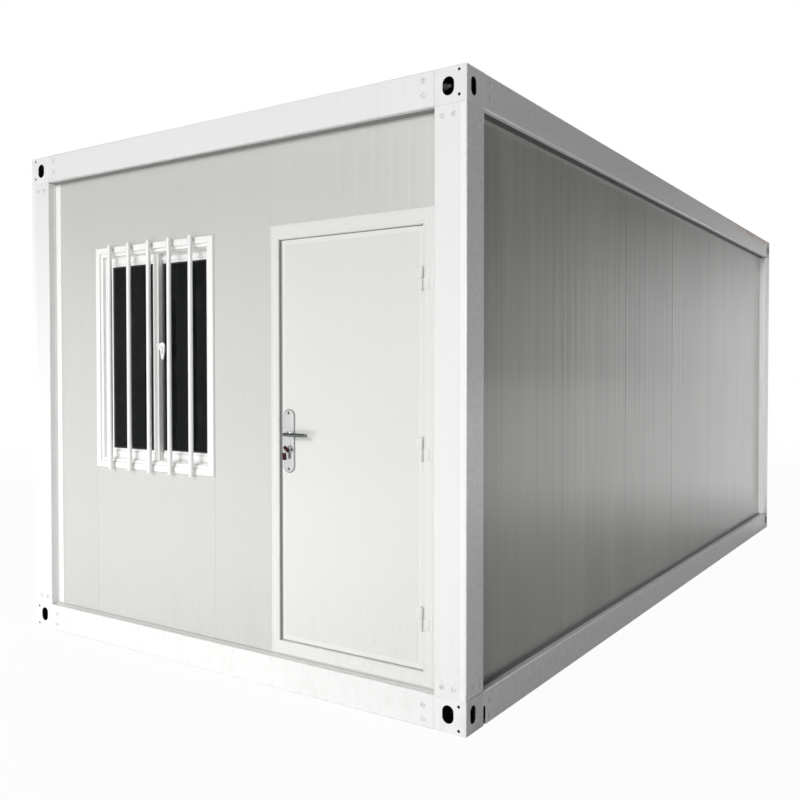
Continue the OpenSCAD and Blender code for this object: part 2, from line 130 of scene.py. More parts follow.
class ContainerColours(bpy.types.PropertyGroup):
    """Colours of the finishes."""

    frame_paint: colour("Frame paint", "Paint of the posts, beams and fittings", 0.85, 0.852, 0.845)
    wall_paint: colour("Wall paint", "Coated steel skin of the wall panels", 0.600, 0.606, 0.575)
    leaf_paint: colour("Door paint", "Coated steel skin of the door leaf", 0.735, 0.742, 0.705)
    roof_paint: colour("Roof paint", "Coated steel of the roof sheet", 0.60, 0.615, 0.61)
    plastic: colour("Profile white", "White of the window, its bars and the trims", 0.91, 0.915, 0.90)
    door_white: colour("Door white", "White of the door's frame, edging and hinges", 0.775, 0.78, 0.755)
    galvanised: colour("Galvanised", "Zinc of the purlins, joists and bolts", 0.50, 0.515, 0.53)
    chrome: colour("Chrome", "Bright metal of the lock plates", 0.73, 0.74, 0.735)
    lever: colour("Lever", "Darker metal of the door levers", 0.20, 0.225, 0.21)
    glass: colour("Glass", "Tint of the window glass", 0.005, 0.007, 0.006)
    rubber: colour("Rubber", "Gaskets and sealing strips", 0.035, 0.036, 0.036)
    # This grey paints shade: on the ledges of the sides and rear, under the front beam, on the door
    # leaf's left edge and round the lock plates.
    sealant: colour("Sealant", "Grey sealant of the joints", 0.28, 0.285, 0.28)
    # This dark grey paints the shade under the top beams of the sides and rear.
    dark_sealant: colour("Dark sealant", "Dark sealant at the top of the walls", 0.11, 0.11, 0.105)
    pale_sealant: colour("Pale sealant", "Light sealant round window and door", 0.66, 0.66, 0.645)
    # This near-black paints the shade inside the corner fittings, their webs and the beams' open ends.
    cavity: colour("Cavity", "Dark primer inside the corner fittings", 0.022, 0.022, 0.022)
    ceiling: colour("Ceiling", "Coated sheet of the ceiling", 0.80, 0.80, 0.785)
    vinyl: colour("Floor covering", "Vinyl covering of the floor", 0.30, 0.285, 0.26)
    board: colour("Floor board", "Cement board under the covering", 0.36, 0.35, 0.33)
    tag: colour("Key tag", "Plastic of the key's head and tag", 0.040, 0.003, 0.009)
    dirt: colour("Dirt", "Dust and rain streaks", 0.33, 0.31, 0.27)
    primer: colour("Primer", "Bare grey primer where the paint is chipped", 0.22, 0.21, 0.20)
    rust: colour("Rust", "Rust that blooms on the far end of an upper beam", 0.50, 0.25, 0.16)


# ------------------------------------------------------------ shader nodes


class Value:
    """One shader socket, on which arithmetic adds Math nodes."""

    def __init__(self, finish, socket):
        self.finish = finish
        self.socket = socket

    def math(self, operation, first, second=0.0, clamp=False):
        settings = {"operation": operation, "use_clamp": clamp}
        return self.finish.node("ShaderNodeMath", settings, {0: first, 1: second})

    def __add__(self, other):
        return self.math("ADD", self, other)

    __radd__ = __add__

    def __sub__(self, other):
        return self.math("SUBTRACT", self, other)

    def __rsub__(self, other):
        return self.math("SUBTRACT", other, self)

    def __mul__(self, other):
        return self.math("MULTIPLY", self, other)

    __rmul__ = __mul__

    def clipped(self):
        """This value kept between 0 and 1."""
        return self.math("ADD", self, 0.0, clamp=True)

    def rising(self, low, high):
        """0 below low, 1 above high, and smooth between."""
        settings = {"interpolation_type": "SMOOTHSTEP"}
        inputs = {"Value": self, "From Min": low, "From Max": high}
        return self.finish.node("ShaderNodeMapRange", settings, inputs)


class Finish:
    """The nodes of one material, or of the world."""

    def __init__(self, owner):
        owner.use_nodes = True
        self.owner = owner
        self.tree = owner.node_tree
        self.tree.nodes.clear()

    def node(self, kind, settings=None, inputs=None, output=0):
        """Any node: its settings are set first, then the values or links of its sockets."""
        made = self.tree.nodes.new(kind)
        for name, value in (settings or {}).items():
            setattr(made, name, value)
        for name, value in (inputs or {}).items():
            self.feed(made.inputs[name], value)
        return Value(self, made.outputs[output])

    def feed(self, socket, value):
        if isinstance(value, Value):
            self.tree.links.new(value.socket, socket)
        else:
            socket.default_value = value

    def place(self):
        """Where a point is in the object, in metres."""
        return self.node("ShaderNodeTexCoord", output="Object")

    def axis(self, letter):
        """One coordinate of a point in the object: X to the right, Y back, Z up from the ground."""
        return self.node("ShaderNodeSeparateXYZ", None, {0: self.place()}, letter)

    def mark(self, name):
        """A number that the mesh carries on its faces."""
        return self.node("ShaderNodeAttribute", {"attribute_name": name}, None, "Fac")

    def stretched(self, stretch):
        """The place in the object, scaled along each axis."""
        return self.node("ShaderNodeMapping", None, {"Vector": self.place(), "Scale": stretch})

    def noise(self, scale, detail=3.0, stretch=(1.0, 1.0, 1.0), roughness=0.5):
        """Cloudy noise from 0 to 1; scale is in features a metre."""
        inputs = {"Vector": self.stretched(stretch), "Scale": scale}
        inputs |= {"Detail": detail, "Roughness": roughness}
        return self.node("ShaderNodeTexNoise", None, inputs)

    def cells(self, scale, output="Distance"):
        """Round cells; scale is in cells a metre."""
        inputs = {"Vector": self.place(), "Scale": scale}
        return self.node("ShaderNodeTexVoronoi", None, inputs, output)

    def mix(self, first, second, amount):
        """Two colours mixed; amount 0 is the first."""
        inputs = {0: amount, 6: solid(first), 7: solid(second)}
        return self.node("ShaderNodeMix", {"data_type": "RGBA"}, inputs, 2)

    def shaded(self, base, amount):
        """A colour made lighter or darker by a number round 1."""
        vector = base if isinstance(base, Value) else tuple(base)
        return self.node("ShaderNodeVectorMath", {"operation": "SCALE"}, {0: vector, "Scale": amount})

    def surface(self, *bumps, **inputs):
        """The shader; each bump is (height, strength, distance in metres)."""
        made = self.tree.nodes.new("ShaderNodeBsdfPrincipled")
        for name, value in inputs.items():
            self.feed(made.inputs[name.replace("_", " ")], value)
        normal = {}
        for height, strength, distance in bumps:
            sockets = {"Height": height, "Strength": strength, "Distance": distance}
            normal = {"Normal": self.node("ShaderNodeBump", None, sockets | normal)}
        for name, value in normal.items():
            self.feed(made.inputs[name], value)
        return self.show(Value(self, made.outputs[0]))

    def show(self, shader):
        kind = "World" if isinstance(self.owner, bpy.types.World) else "Material"
        target = self.tree.nodes.new("ShaderNodeOutput" + kind)
        self.tree.links.new(shader.socket, target.inputs["Surface"])
        return self.owner


def solid(value):
    """A colour as a socket takes it."""
    return value if isinstance(value, Value) else (value[0], value[1], value[2], 1.0)


# --------------------------------------------------------------- finishes


def weathered(f, base, colours, grime=0.5, streaks=0.3, tone=0.03):
    """A coating's colour with cloudy tone, rain streaks and dust near the ground."""
    cloud = f.noise(1.3, 4.0) * 0.6 + f.noise(9.0, 3.0) * 0.4
    toned = f.shaded(base, (cloud - 0.5) * (2.0 * tone) + 1.0)
    run = f.noise(1.0, 4.0, (34.0, 34.0, 0.9), 0.6).rising(0.52, 0.8)
    low = 1.0 - f.axis("Z").rising(0.0, 0.75)
    splash = f.noise(26.0, 5.0, (1.0, 1.0, 0.6), 0.7).rising(0.42, 0.75)
    soil = (run * (0.22 * streaks) + low * splash * (0.30 * grime)).clipped()
    return f.mix(toned, colours.dirt, soil), soil


def frame_paint(f, colours):
    """Sprayed enamel on folded steel: orange peel, chips along the bends, dust at the foot.

    It has a painted highlight near the posts' outer edges, painted light on the long sides that grows
    towards the rear, and a little rust that blooms on one upper beam.
    """
    base, soil = weathered(f, colours.frame_paint, colours, 0.45, 0.2, 0.02)
    worn = f.mark("wear")
    chips = (f.noise(95.0, 6.0, roughness=0.75) * worn).rising(0.635, 0.66)
    rub = (f.noise(11.0, 4.0) * worn).rising(0.45, 0.8)
    rubbed = f.mix(base, colours.dirt, rub * 0.18)
    paint = f.mix(rubbed, colours.primer, chips * 0.75)
    peel = f.noise(420.0, 2.0)
    waves = f.noise(7.0, 2.0)
    across, along = f.axis("X"), f.axis("Y")
    aside = across.math("ABSOLUTE", across)
    # Painted light: flank and back lighten the long sides, more so towards the rear, and rim paints a
    # highlight near the posts' outer edges.
    flank = aside.rising(1.492, 1.498)
    rim = aside.rising(1.466, 1.474) - flank
    mottle = (f.noise(38.0, 5.0, roughness=0.7) - 0.5) * flank
    back = along.rising(-2.5, 1.5) * flank
    far_top = f.axis("Z").rising(2.72, 2.795) * along.rising(1.0, 2.2) * across.rising(1.492, 1.498)
    bloom = (f.noise(8.0, 5.0, roughness=0.7).rising(0.34, 0.58) * far_top).clipped()
    aged = f.mix(paint, colours.rust, bloom * 0.75)
    return f.surface(
        (waves, 0.25, 0.004),
        (peel, 0.35, 0.0004),
        (1.0 - chips, 0.5, 0.0003),
        # The colour carries the painted light of flank and back and the painted highlight of rim; mottle
        # is random tone.
        Base_Color=f.shaded(aged, 1.0 + flank * 0.08 + back * 0.10 + rim * 0.08 + mottle * 0.5),
        Roughness=0.34 + soil * 0.5 + chips * 0.3 + (f.noise(30.0, 3.0) - 0.5) * 0.1,
        Coat_Weight=0.4 + flank * 0.6,
        Coat_Roughness=0.18,
    )


def fitting_paint(f, colours):
    """The frame's enamel over a cast or welded block, with a coarser skin."""
    base, soil = weathered(f, colours.frame_paint, colours, 0.55, 0.4, 0.03)
    chips = (f.noise(70.0, 6.0, roughness=0.75) * f.mark("wear")).rising(0.60, 0.64)
    return f.surface(
        (f.noise(180.0, 4.0), 0.5, 0.0006),
        (1.0 - chips, 0.5, 0.0003),
        Base_Color=f.mix(base, colours.primer, chips * 0.7),
        Roughness=0.42 + soil * 0.4 + chips * 0.3,
    )


def coated_skin(f, colours, base, gloss, tone, streaks):
    """Colour-coated steel skin: fine rolling lines, panel tone, dust that gathers low.

    The long walls' panels carry a negative tone, which paints shade on them; there the colour also takes
    painted sheen streaks that follow a ripple bump, and painted shade towards the front post.
    """
    coated, soil = weathered(f, base, colours, 0.4, streaks, tone)
    # Painted shade: the long walls' negative tone makes panel well below 1 and darkens them.
    panel = f.mark("tone") * 0.05 + 0.975
    flank = (0.0 - f.mark("tone")).clipped()
    # Painted sheen: on the long walls the ripple that bumps the skin also streaks its colour lighter and
    # darker.
    ripple = f.noise(1.0, 4.0, (23.0, 23.0, 0.5), 0.6) * f.noise(1.0, 2.0, (3.0, 3.0, 0.6))
    swell_and_sheen = (ripple * 2.0 - 0.5) * flank
    # Painted shade: the long walls darken towards their front ends, beside the post.
    corner = (0.0 - f.axis("Y")).rising(2.55, 2.76) * flank
    lines = f.noise(1.0, 2.0, (240.0, 240.0, 0.6))
    oil_can = f.noise(2.2, 2.0, (1.0, 1.0, 0.55))
    return f.surface(
        (oil_can, 0.30, 0.010),
        (swell_and_sheen, 0.4, 0.004),
        (lines, 0.10, 0.0004),
        (f.noise(300.0, 2.0), 0.2, 0.0003),
        Base_Color=f.shaded(
            f.shaded(coated, panel), 0.985 + lines * 0.03 + swell_and_sheen * 0.36 - corner * 0.16
        ),
        Roughness=gloss + soil * 0.5 + (f.noise(5.0, 3.0) - 0.5) * 0.08,
        Coat_Weight=1.0,
        Coat_Roughness=0.16,
    )


def roof_skin(f, colours):
    """The coated roof sheet, dulled by standing dust."""
    base = weathered(f, colours.roof_paint, colours, 0.0, 0.0, 0.05)[0]
    puddle = f.noise(2.4, 5.0, roughness=0.65).rising(0.45, 0.72)
    return f.surface(
        (f.noise(1.0, 2.0, (0.8, 160.0, 160.0)), 0.15, 0.0004),
        (f.noise(60.0, 3.0), 0.2, 0.0008),
        Base_Color=f.mix(base, colours.dirt, puddle * 0.35),
        Roughness=0.42 + puddle * 0.3,
    )


def white_profile(f, colours, paint):
    """Extruded white profile: a faint draw along its length, dust in the corners."""
    base, soil = weathered(f, paint, colours, 0.35, 0.25, 0.012)
    scuff = (f.noise(60.0, 5.0) * f.mark("wear")).rising(0.5, 0.75)
    return f.surface(
        (f.noise(260.0, 2.0), 0.15, 0.0003),
        (f.noise(12.0, 2.0), 0.15, 0.002),
        Base_Color=f.mix(base, colours.dirt, scuff * 0.22),
        Roughness=0.30 + soil * 0.4 + scuff * 0.2,
        Coat_Weight=0.2,
        Coat_Roughness=0.2,
    )


def galvanised(f, colours):
    """Hot-dip zinc with its spangle."""
    grey = f.node("ShaderNodeRGBToBW", None, {0: f.cells(55.0, "Color")})
    stain = f.noise(4.0, 5.0).rising(0.45, 0.75)
    base = f.shaded(colours.galvanised, 0.82 + grey * 0.36)
    return f.surface(
        (grey, 0.15, 0.0004),
        (f.noise(90.0, 3.0), 0.2, 0.0004),
        Base_Color=f.mix(base, colours.dirt, stain * 0.3),
        Metallic=0.85 - stain * 0.5,
        Roughness=0.38 + grey * 0.12 + stain * 0.25,
    )


def painted_bolt(f, colours):
    """Bolt heads sprayed over with the frame, with bare zinc on the corners."""
    bare = f.noise(160.0, 4.0).rising(0.46, 0.62)
    return f.surface(
        (f.noise(350.0, 3.0), 0.4, 0.0003),
        Base_Color=f.mix(colours.frame_paint, colours.galvanised, bare * 0.75 + 0.15),
        Metallic=bare * 0.6,
        Roughness=0.36 + bare * 0.15,
    )


def bright_metal(f, colours, base, roughness):
    """Plated metal, softly brushed and finger-marked."""
    brushed = f.noise(1.0, 3.0, (900.0, 900.0, 60.0))
    marks = f.noise(38.0, 4.0).rising(0.48, 0.72)
    return f.surface(
        (brushed, 0.08, 0.0002),
        Base_Color=f.shaded(base, 0.94 + brushed * 0.12),
        Metallic=1.0,
        Roughness=roughness + marks * 0.14 + brushed * 0.05,
    )


def soft_matt(f, colours, base, roughness, dusty=0.25):
    """Rubber, sealant or primer: matt, a little mottled and dusty."""
    dust = f.noise(70.0, 5.0).rising(0.45, 0.8)
    return f.surface(
        (f.noise(500.0, 3.0), 0.4, 0.0003),
        (f.noise(45.0, 3.0), 0.3, 0.001),
        Base_Color=f.mix(base, colours.dirt, dust * dusty),
        Roughness=roughness + dust * 0.15,
    )


def window_glass(f, colours):
    """Tinted glass with a thin film of dust along its foot."""
    film = f.noise(14.0, 5.0, (1.0, 1.0, 0.4)).rising(0.5, 0.85)
    return f.surface(
        (f.noise(1.6, 1.0), 0.05, 0.002),
        Base_Color=f.mix(colours.glass, colours.dirt, film * 0.05),
        Roughness=0.04 + film * 0.12,
        Specular_IOR_Level=0.10,
        Alpha=0.88,
    )


def ceiling_sheet(f, colours):
    """Coated ceiling sheet with fine lines along the cabin."""
    lines = f.noise(1.0, 2.0, (220.0, 1.2, 220.0))
    return f.surface(
        (lines, 0.1, 0.0004),
        Base_Color=f.shaded(colours.ceiling, 0.97 + f.noise(1.5, 4.0) * 0.06),
        Roughness=0.42 + lines * 0.08,
    )


def vinyl(f, colours):
    """Speckled vinyl with scuffs."""
    fleck = f.cells(420.0).rising(0.18, 0.34)
    scuff = f.noise(9.0, 6.0, (1.0, 4.0, 1.0), 0.7).rising(0.56, 0.74)
    base = f.shaded(colours.vinyl, 0.86 + f.noise(3.0, 5.0) * 0.28)
    return f.surface(
        (fleck, 0.1, 0.0003),
        (f.noise(240.0, 3.0), 0.2, 0.0003),
        Base_Color=f.shaded(f.mix(colours.dirt, base, fleck * 0.6 + 0.4), 1.0 - scuff * 0.15),
        Roughness=0.40 + scuff * 0.2,
    )


def cement_board(f, colours):
    """Fibre-cement board: mottled, chalky and slightly pitted."""
    grain = f.noise(160.0, 6.0, roughness=0.7)
    return f.surface(
        (grain, 0.5, 0.001),
        Base_Color=f.shaded(colours.board, 0.8 + f.noise(4.0, 5.0) * 0.25 + grain * 0.15),
        Roughness=0.85,
    )


def tag_plastic(f, colours):
    """Moulded coloured plastic, lightly scratched."""
    scratch = f.noise(1.0, 4.0, (500.0, 200.0, 90.0)).rising(0.55, 0.8)
    return f.surface(
        (scratch, 0.2, 0.0002),
        Base_Color=f.shaded(colours.tag, 1.0 + scratch * 0.8),
        Roughness=0.45 + scratch * 0.3,
        Specular_IOR_Level=0.2,
    )


# Each finish: how it is made, the name of its colour where it takes one, and its own numbers.
FINISHES = {
    "frame_paint": (frame_paint,),
    "fitting_paint": (fitting_paint,),
    "wall_skin": (coated_skin, "wall_paint", 0.30, 0.02, 0.35),
    "leaf_skin": (coated_skin, "leaf_paint", 0.36, 0.012, 0.08),
    "roof_skin": (roof_skin,),
    "profile_white": (white_profile, "plastic"),
    "door_profile": (white_profile, "door_white"),
    "galvanised": (galvanised,),
    "painted_bolt": (painted_bolt,),
    "chrome": (bright_metal, "chrome", 0.28),
    "lever_metal": (bright_metal, "lever", 0.24),
    "rubber": (soft_matt, "rubber", 0.62),
    "sealant": (soft_matt, "sealant", 0.5),
    "dark_sealant": (soft_matt, "dark_sealant", 0.55, 0.12),
    "pale_sealant": (soft_matt, "pale_sealant", 0.5, 0.12),
    "cavity_primer": (soft_matt, "cavity", 0.8, 0.03),
    "window_glass": (window_glass,),
    "ceiling_sheet": (ceiling_sheet,),
    "vinyl": (vinyl,),
    "cement_board": (cement_board,),
    "tag_plastic": (tag_plastic,),
}


def finish(name):
    """A finish by name, made the first time it is asked for."""
    material = bpy.data.materials.get(name)
    if material is None:
        material = bpy.data.materials.new(name)
        colours = bpy.context.scene.container_colours
        make, *settings = FINISHES[name]
        values = [getattr(colours, s) if isinstance(s, str) else s for s in settings]
        make(Finish(material), colours, *values)
    return material


def repaint(node, name):
    """Gives a CAD node that shows as it is a finish."""
    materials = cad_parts[node].data.materials
    materials.clear()
    materials.append(finish(name))


# ------------------------------------------------------- modelling in mesh


def new_mesh():
    """An empty bmesh whose faces can carry wear and tone."""
    bm = bmesh.new()
    bm.faces.layers.float.new("wear")
    bm.faces.layers.float.new("tone")
    return bm


def merged(node):
    """The shape of a CAD node as a bmesh, with loose triangles welded and flats joined."""
    bm = new_mesh()
    bm.from_mesh(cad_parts[node].data)
    bmesh.ops.remove_doubles(bm, verts=bm.verts, dist=2 * TINY)
    limit = math.radians(0.5)
    bmesh.ops.dissolve_limit(bm, angle_limit=limit, verts=list(bm.verts), edges=list(bm.edges))
    return bm


def soften(bm, edges, radius, segments=2):
    """Rounds edges and marks the new faces as the ones that wear."""
    made = bmesh.ops.bevel(
        bm, geom=list(edges), offset=radius, offset_type="OFFSET", affect="EDGES",
        segments=segments, profile=0.5, clamp_overlap=True, material=-1,
    )  # fmt: skip
    wear = bm.faces.layers.float["wear"]
    for face in made["faces"]:
        face[wear] = 1.0


def sharp(bm, least=40.0):
    """Edges where two faces turn by more than so many degrees."""
    return [e for e in bm.edges if e.is_manifold and e.calc_face_angle() > math.radians(least)]


def running(bm, **lines):
    """Edges that run along given lines, such as running(bm, y=[-1.0], z=[0.0, 2.0])."""

    def holds(edge):
        for axis, levels in lines.items():
            first, second = (v.co["xyz".index(axis)] for v in edge.verts)
            if abs(first - second) > TINY or min(abs(first - n) for n in levels) > 3 * TINY:
                return False
        return True

    return [e for e in bm.edges if holds(e)]


def edges_of(verts):
    """Edges that touch some vertices."""
    return list({e for v in verts for e in v.link_edges})


def faces_of(verts):
    """Faces that touch some vertices."""
    return list({f for v in verts for f in v.link_faces})


def edges_between(verts):
    """Edges with both ends among some vertices."""
    return [e for e in edges_of(verts) if all(v in verts for v in e.verts)]


def verts_in(geometry):
    """The vertices among what an operator made."""
    return [g for g in geometry if isinstance(g, bmesh.types.BMVert)]


def span(base, first, second):
    """A pair of ends, each so many millimetres from a base."""
    return base + first * MM, base + second * MM


def block(bm, x, y, z, radius=0.6, segments=1):
    """A block between two ends along each axis, with edges rounded in millimetres."""
    low, high = (Vector([pick(ends) for ends in (x, y, z)]) for pick in (min, max))
    place = Matrix.LocRotScale((low + high) / 2, None, high - low)
    made = bmesh.ops.create_cube(bm, size=1.0, matrix=place)
    soften(bm, edges_of(made["verts"]), radius * MM, segments)


def aimed(place, direction):
    """A matrix that puts local Z along a direction at a place."""
    return Matrix.Translation(place) @ Vector(direction).to_track_quat("Z", "Y").to_matrix().to_4x4()


def rod(bm, start, end, radius, steps, rim=0.0):
    """A round bar between two points, with softened ends."""
    start, end = Vector(start), Vector(end)
    place = aimed((start + end) / 2, end - start)
    made = bmesh.ops.create_cone(
        bm, cap_ends=True, segments=steps, radius1=radius, radius2=radius,
        depth=(end - start).length, matrix=place,
    )  # fmt: skip
    if rim:
        caps = [f for f in faces_of(made["verts"]) if len(f.verts) == steps]
        soften(bm, {e for f in caps for e in f.edges}, rim, 2)


def pattern(bm):
    """Keeps a small bmesh as a mesh that can be stamped many times."""
    bmesh.ops.recalc_face_normals(bm, faces=bm.faces)
    mesh = bpy.data.meshes.new("pattern")
    bm.to_mesh(mesh)
    bm.free()
    return mesh


def full_spin(bm, geometry, steps):
    """Turns an outline all the way round Z."""
    bmesh.ops.spin(
        bm, geom=geometry, cent=(0, 0, 0), axis=(0, 0, 1), dvec=(0, 0, 0),
        angle=2 * math.pi, steps=steps, use_merge=True,
    )  # fmt: skip
    bmesh.ops.remove_doubles(bm, verts=bm.verts, dist=TINY / 2)


def turned(steps, *outline):
    """A pattern turned round Z from (radius, height) pairs in millimetres."""
    bm = new_mesh()
    verts = [bm.verts.new((radius * MM, 0.0, height * MM)) for radius, height in outline]
    full_spin(bm, verts + [bm.edges.new(pair) for pair in zip(verts, verts[1:])], steps)
    return pattern(bm)


def stamp(bm, mesh, place=Matrix()):
    """Adds a copy of a pattern at a place."""
    copy = mesh.copy()
    copy.transform(place)
    bm.from_mesh(copy)
    bpy.data.meshes.remove(copy)


# Turns an outline's X to Y and its Y to Z, so that it is drawn out along X.
LENGTHWAYS = Matrix(((0, 0, 1, 0), (1, 0, 0, 0), (0, 1, 0, 0), (0, 0, 0, 1)))


def prism(bm, outline, place, run):
    """An outline of (x, y) pairs in millimetres, drawn out along Z of a place."""
    verts = [bm.verts.new(place @ Vector((x * MM, y * MM, 0.0))) for x, y in outline]
    face = bm.faces.new(verts)
    top = verts_in(bmesh.ops.extrude_face_region(bm, geom=[face])["geom"])
    bmesh.ops.translate(bm, verts=top, vec=place.to_3x3() @ Vector((0.0, 0.0, run)))
    faces = faces_of(verts + top)
    bmesh.ops.recalc_face_normals(bm, faces=faces)
    return faces


def mitred(bm, outline, low, high, front):
    """Runs an outline of (inward, back) pairs in millimetres round an upright rectangle.

    low and high are the rectangle's corners as (x, z), and front is the y of its face.
    """
    verts = [
        bm.verts.new((low[0] + inward * MM, front + back * MM, low[1] + inward * MM))
        for inward, back in outline
    ]
    ring = [bm.edges.new(pair) for pair in zip(verts, verts[1:] + verts[:1])]
    centre = {0: (low[0] + high[0]) / 2, 2: (low[1] + high[1]) / 2}
    touched = set(verts)
    for axis in (0, 2, 0, 2):
        moved = set(verts_in(bmesh.ops.extrude_edge_only(bm, edges=ring)["geom"]))
        for vert in moved:
            vert.co[axis] = 2 * centre[axis] - vert.co[axis]
        touched |= moved
        ring = edges_between(moved)
    bmesh.ops.remove_doubles(bm, verts=list(touched), dist=TINY / 2)
    bmesh.ops.recalc_face_normals(bm, faces=faces_of([v for v in touched if v.is_valid]))


def flats_at(bm, outward, level):
    """Faces that look outward at a level along that direction."""
    return [
        f
        for f in bm.faces
        if f.normal.dot(outward) > PARALLEL
        and abs(f.calc_center_median().dot(outward) - level) < 5 * TINY
    ]


def sink_recesses(bm, spots, outward, radius, depth, sides=18):
    """Sinks round recesses into the flat face that looks outward, one at each spot."""
    flat = set(flats_at(bm, outward, spots[0].dot(outward)))
    rim = {e for f in flat for e in f.edges if sum(g in flat for g in e.link_faces) == 1}
    bmesh.ops.delete(bm, geom=list(flat), context="FACES")
    rings = []
    for spot in spots:
        made = bmesh.ops.create_circle(
            bm, cap_ends=False, radius=radius, segments=sides, matrix=aimed(spot, outward)
        )
        rings.append(edges_of(made["verts"]))
    border = [e for e in rim if e.is_valid] + [e for ring in rings for e in ring]
    bmesh.ops.triangle_fill(bm, edges=border, use_beauty=True, normal=outward)
    wear = bm.faces.layers.float["wear"]
    for ring in rings:
        grown = bmesh.ops.extrude_edge_only(bm, edges=ring)["geom"]
        sunk = verts_in(grown)
        bmesh.ops.translate(bm, verts=sunk, vec=-depth * outward)
        for face in (g for g in grown if isinstance(g, bmesh.types.BMFace)):
            face[wear] = 0.5
        bmesh.ops.contextual_create(bm, geom=edges_between(sunk))
    bmesh.ops.recalc_face_normals(bm, faces=bm.faces)


def finished(bm, name, materials, body="container", stands_for=(), round_to=0.0):
    """Closes a bmesh into a piece of the container; materials are names with spaces between.

    Only the rounded strips of a folded or bevelled piece are smooth. On a turned piece,
    every edge below round_to degrees is.
    """
    wear = bm.faces.layers.float["wear"]
    flat_turn, bevel_turn = 0.5, 50.0
    for face in bm.faces:
        face.smooth = True
    for edge in bm.edges:
        turn = math.degrees(edge.calc_face_angle(math.pi))
        bevelled = all(f[wear] > 0.9 for f in edge.link_faces)
        edge.smooth = turn < max(flat_turn, round_to) or (bevelled and turn < bevel_turn)
    mesh = bpy.data.meshes.new(name)
    bm.to_mesh(mesh)
    bm.free()
    for material in materials.split():
        mesh.materials.append(finish(material))
    piece = bpy.data.objects.new(name, mesh)
    bpy.context.scene.collection.objects.link(piece)
    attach(piece, body)
    if stands_for:
        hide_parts(*stands_for)
    return piece


def facing(side, across, up, out=0.0):
    """A matrix from a part that looks along -Y at the origin to its place on a side.

    across is to the right of someone who looks at that side, and out is how far the
    place lies behind the frame's outer face.
    """
    half = CAD_HIGH.y if side in ("front", "rear") else CAD_HIGH.x
    turn = Matrix.Rotation(math.radians(SIDES[side]), 4, "Z")
    return turn @ Matrix.Translation((across, out - half, up))


def outer_face(node, axis):
    """The coordinate of a node's outer face along an axis, and the sign of its side."""
    low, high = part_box(node)
    outer = max(low[axis], high[axis], key=abs)
    return outer, math.copysign(1, outer)


# ------------------------------------------------------------- steel frame

# Frame bolts: their distances from a beam's end and from the corner, and their heights.
BEAM_BOLT_END = 54 * MM
POST_BOLTS = (62 * MM, 119 * MM)
BEAM_BOLT_LEVELS = (2.700, 2.763, 0.036, 0.095)
POST_BOLT_LEVELS = (0.190, 2.600)
# How deep in a fitting its web and bolt start, so that they bite into its wall.
FITTING_SEAT = 7 * MM
# How far the faces of an upright web lie inside the frame's outer face.
WEB_INSET = (34 * MM, 38 * MM)


def frame_bolts():
    """Every frame bolt as (side, across, up)."""
    places = []
    for side in SIDES:
        gable = side in ("front", "rear")
        half = CAD_HIGH.x if gable else CAD_HIGH.y
        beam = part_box("top_beam_front")[1].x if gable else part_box("top_beam_right")[1].y
        for sign in (-1, 1):
            places += [(side, sign * (beam - BEAM_BOLT_END), up) for up in BEAM_BOLT_LEVELS]
            for up in POST_BOLT_LEVELS:
                places += [(side, sign * (half - inset), up) for inset in POST_BOLTS]
    return places


def make_folded(bm, node, sizes, bends):
    """A beam or post: wide outer bends, crisp cut edges, recesses for its bolts."""
    soften(bm, bends, sizes.bend_radius, 4)
    soften(bm, sharp(bm), sizes.edge_radius, 1)
    low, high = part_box(node)
    for side in SIDES:
        outward = facing(side, 0, 0).to_3x3() @ Vector((0, -1, 0))
        outward = Vector([round(n) for n in outward])
        spots = [facing(*bolt).translation for bolt in frame_bolts() if bolt[0] == side]
        spots = [s for s in spots if all(low[i] - TINY <= s[i] <= high[i] + TINY for i in range(3))]
        if spots:
            sink_recesses(bm, spots, outward, sizes.recess_radius, sizes.recess_depth)
    finished(bm, node + "_steel", "frame_paint", stands_for=[node])


def make_beam(node, sizes):
    """A folded channel beam."""
    low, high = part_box(node)
    bm = merged(node)
    axis = 1 if "front" in node or "rear" in node else 0
    lines = {"xy"[axis]: [outer_face(node, axis)[0]], "z": [low.z, high.z]}
    make_folded(bm, node, sizes, running(bm, **lines))


def make_post(node, sizes):
    """A corner post of square tube, a little short of its fittings at both ends."""
    low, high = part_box(node)
    bm = merged(node)
    for vert in bm.verts:
        vert.co.z += sizes.foot_gap if vert.co.z < low.z + MM else 0.0
        vert.co.z -= sizes.head_gap if vert.co.z > high.z - MM else 0.0
    make_folded(bm, node, sizes, running(bm, x=[low.x, high.x], y=[low.y, high.y]))


def make_fitting(node, sizes):
    """A corner fitting: rounded outside, with softened rims round its holes."""
    low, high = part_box(node)
    bm = merged(node)
    outer = set()
    for pair in ("xy", "xz", "yz"):
        lines = {axis: [low["xyz".index(axis)], high["xyz".index(axis)]] for axis in pair}
        for edge in running(bm, **lines):
            middle = (edge.verts[0].co + edge.verts[1].co) / 2
            outside = any(abs(abs(v) - h) < TINY for v, h in zip(middle, CAD_HIGH))
            if outside and edge.is_manifold and edge.calc_face_angle() > CORNER_TURN:
                outer.add(edge)
    soften(bm, outer, sizes.cast_radius, 3)
    soften(bm, sharp(bm), sizes.edge_radius, 1)
    # Painted shade: faces deep inside the fitting take a near-black finish, so its holes look dark.
    skin_depth = 2 * MM
    for face in bm.faces:
        centre = face.calc_center_median()
        if all(low[i] + skin_depth < centre[i] < high[i] - skin_depth for i in range(3)):
            face.material_index = 1
    finished(bm, node + "_block", "fitting_paint cavity_primer", stands_for=[node])


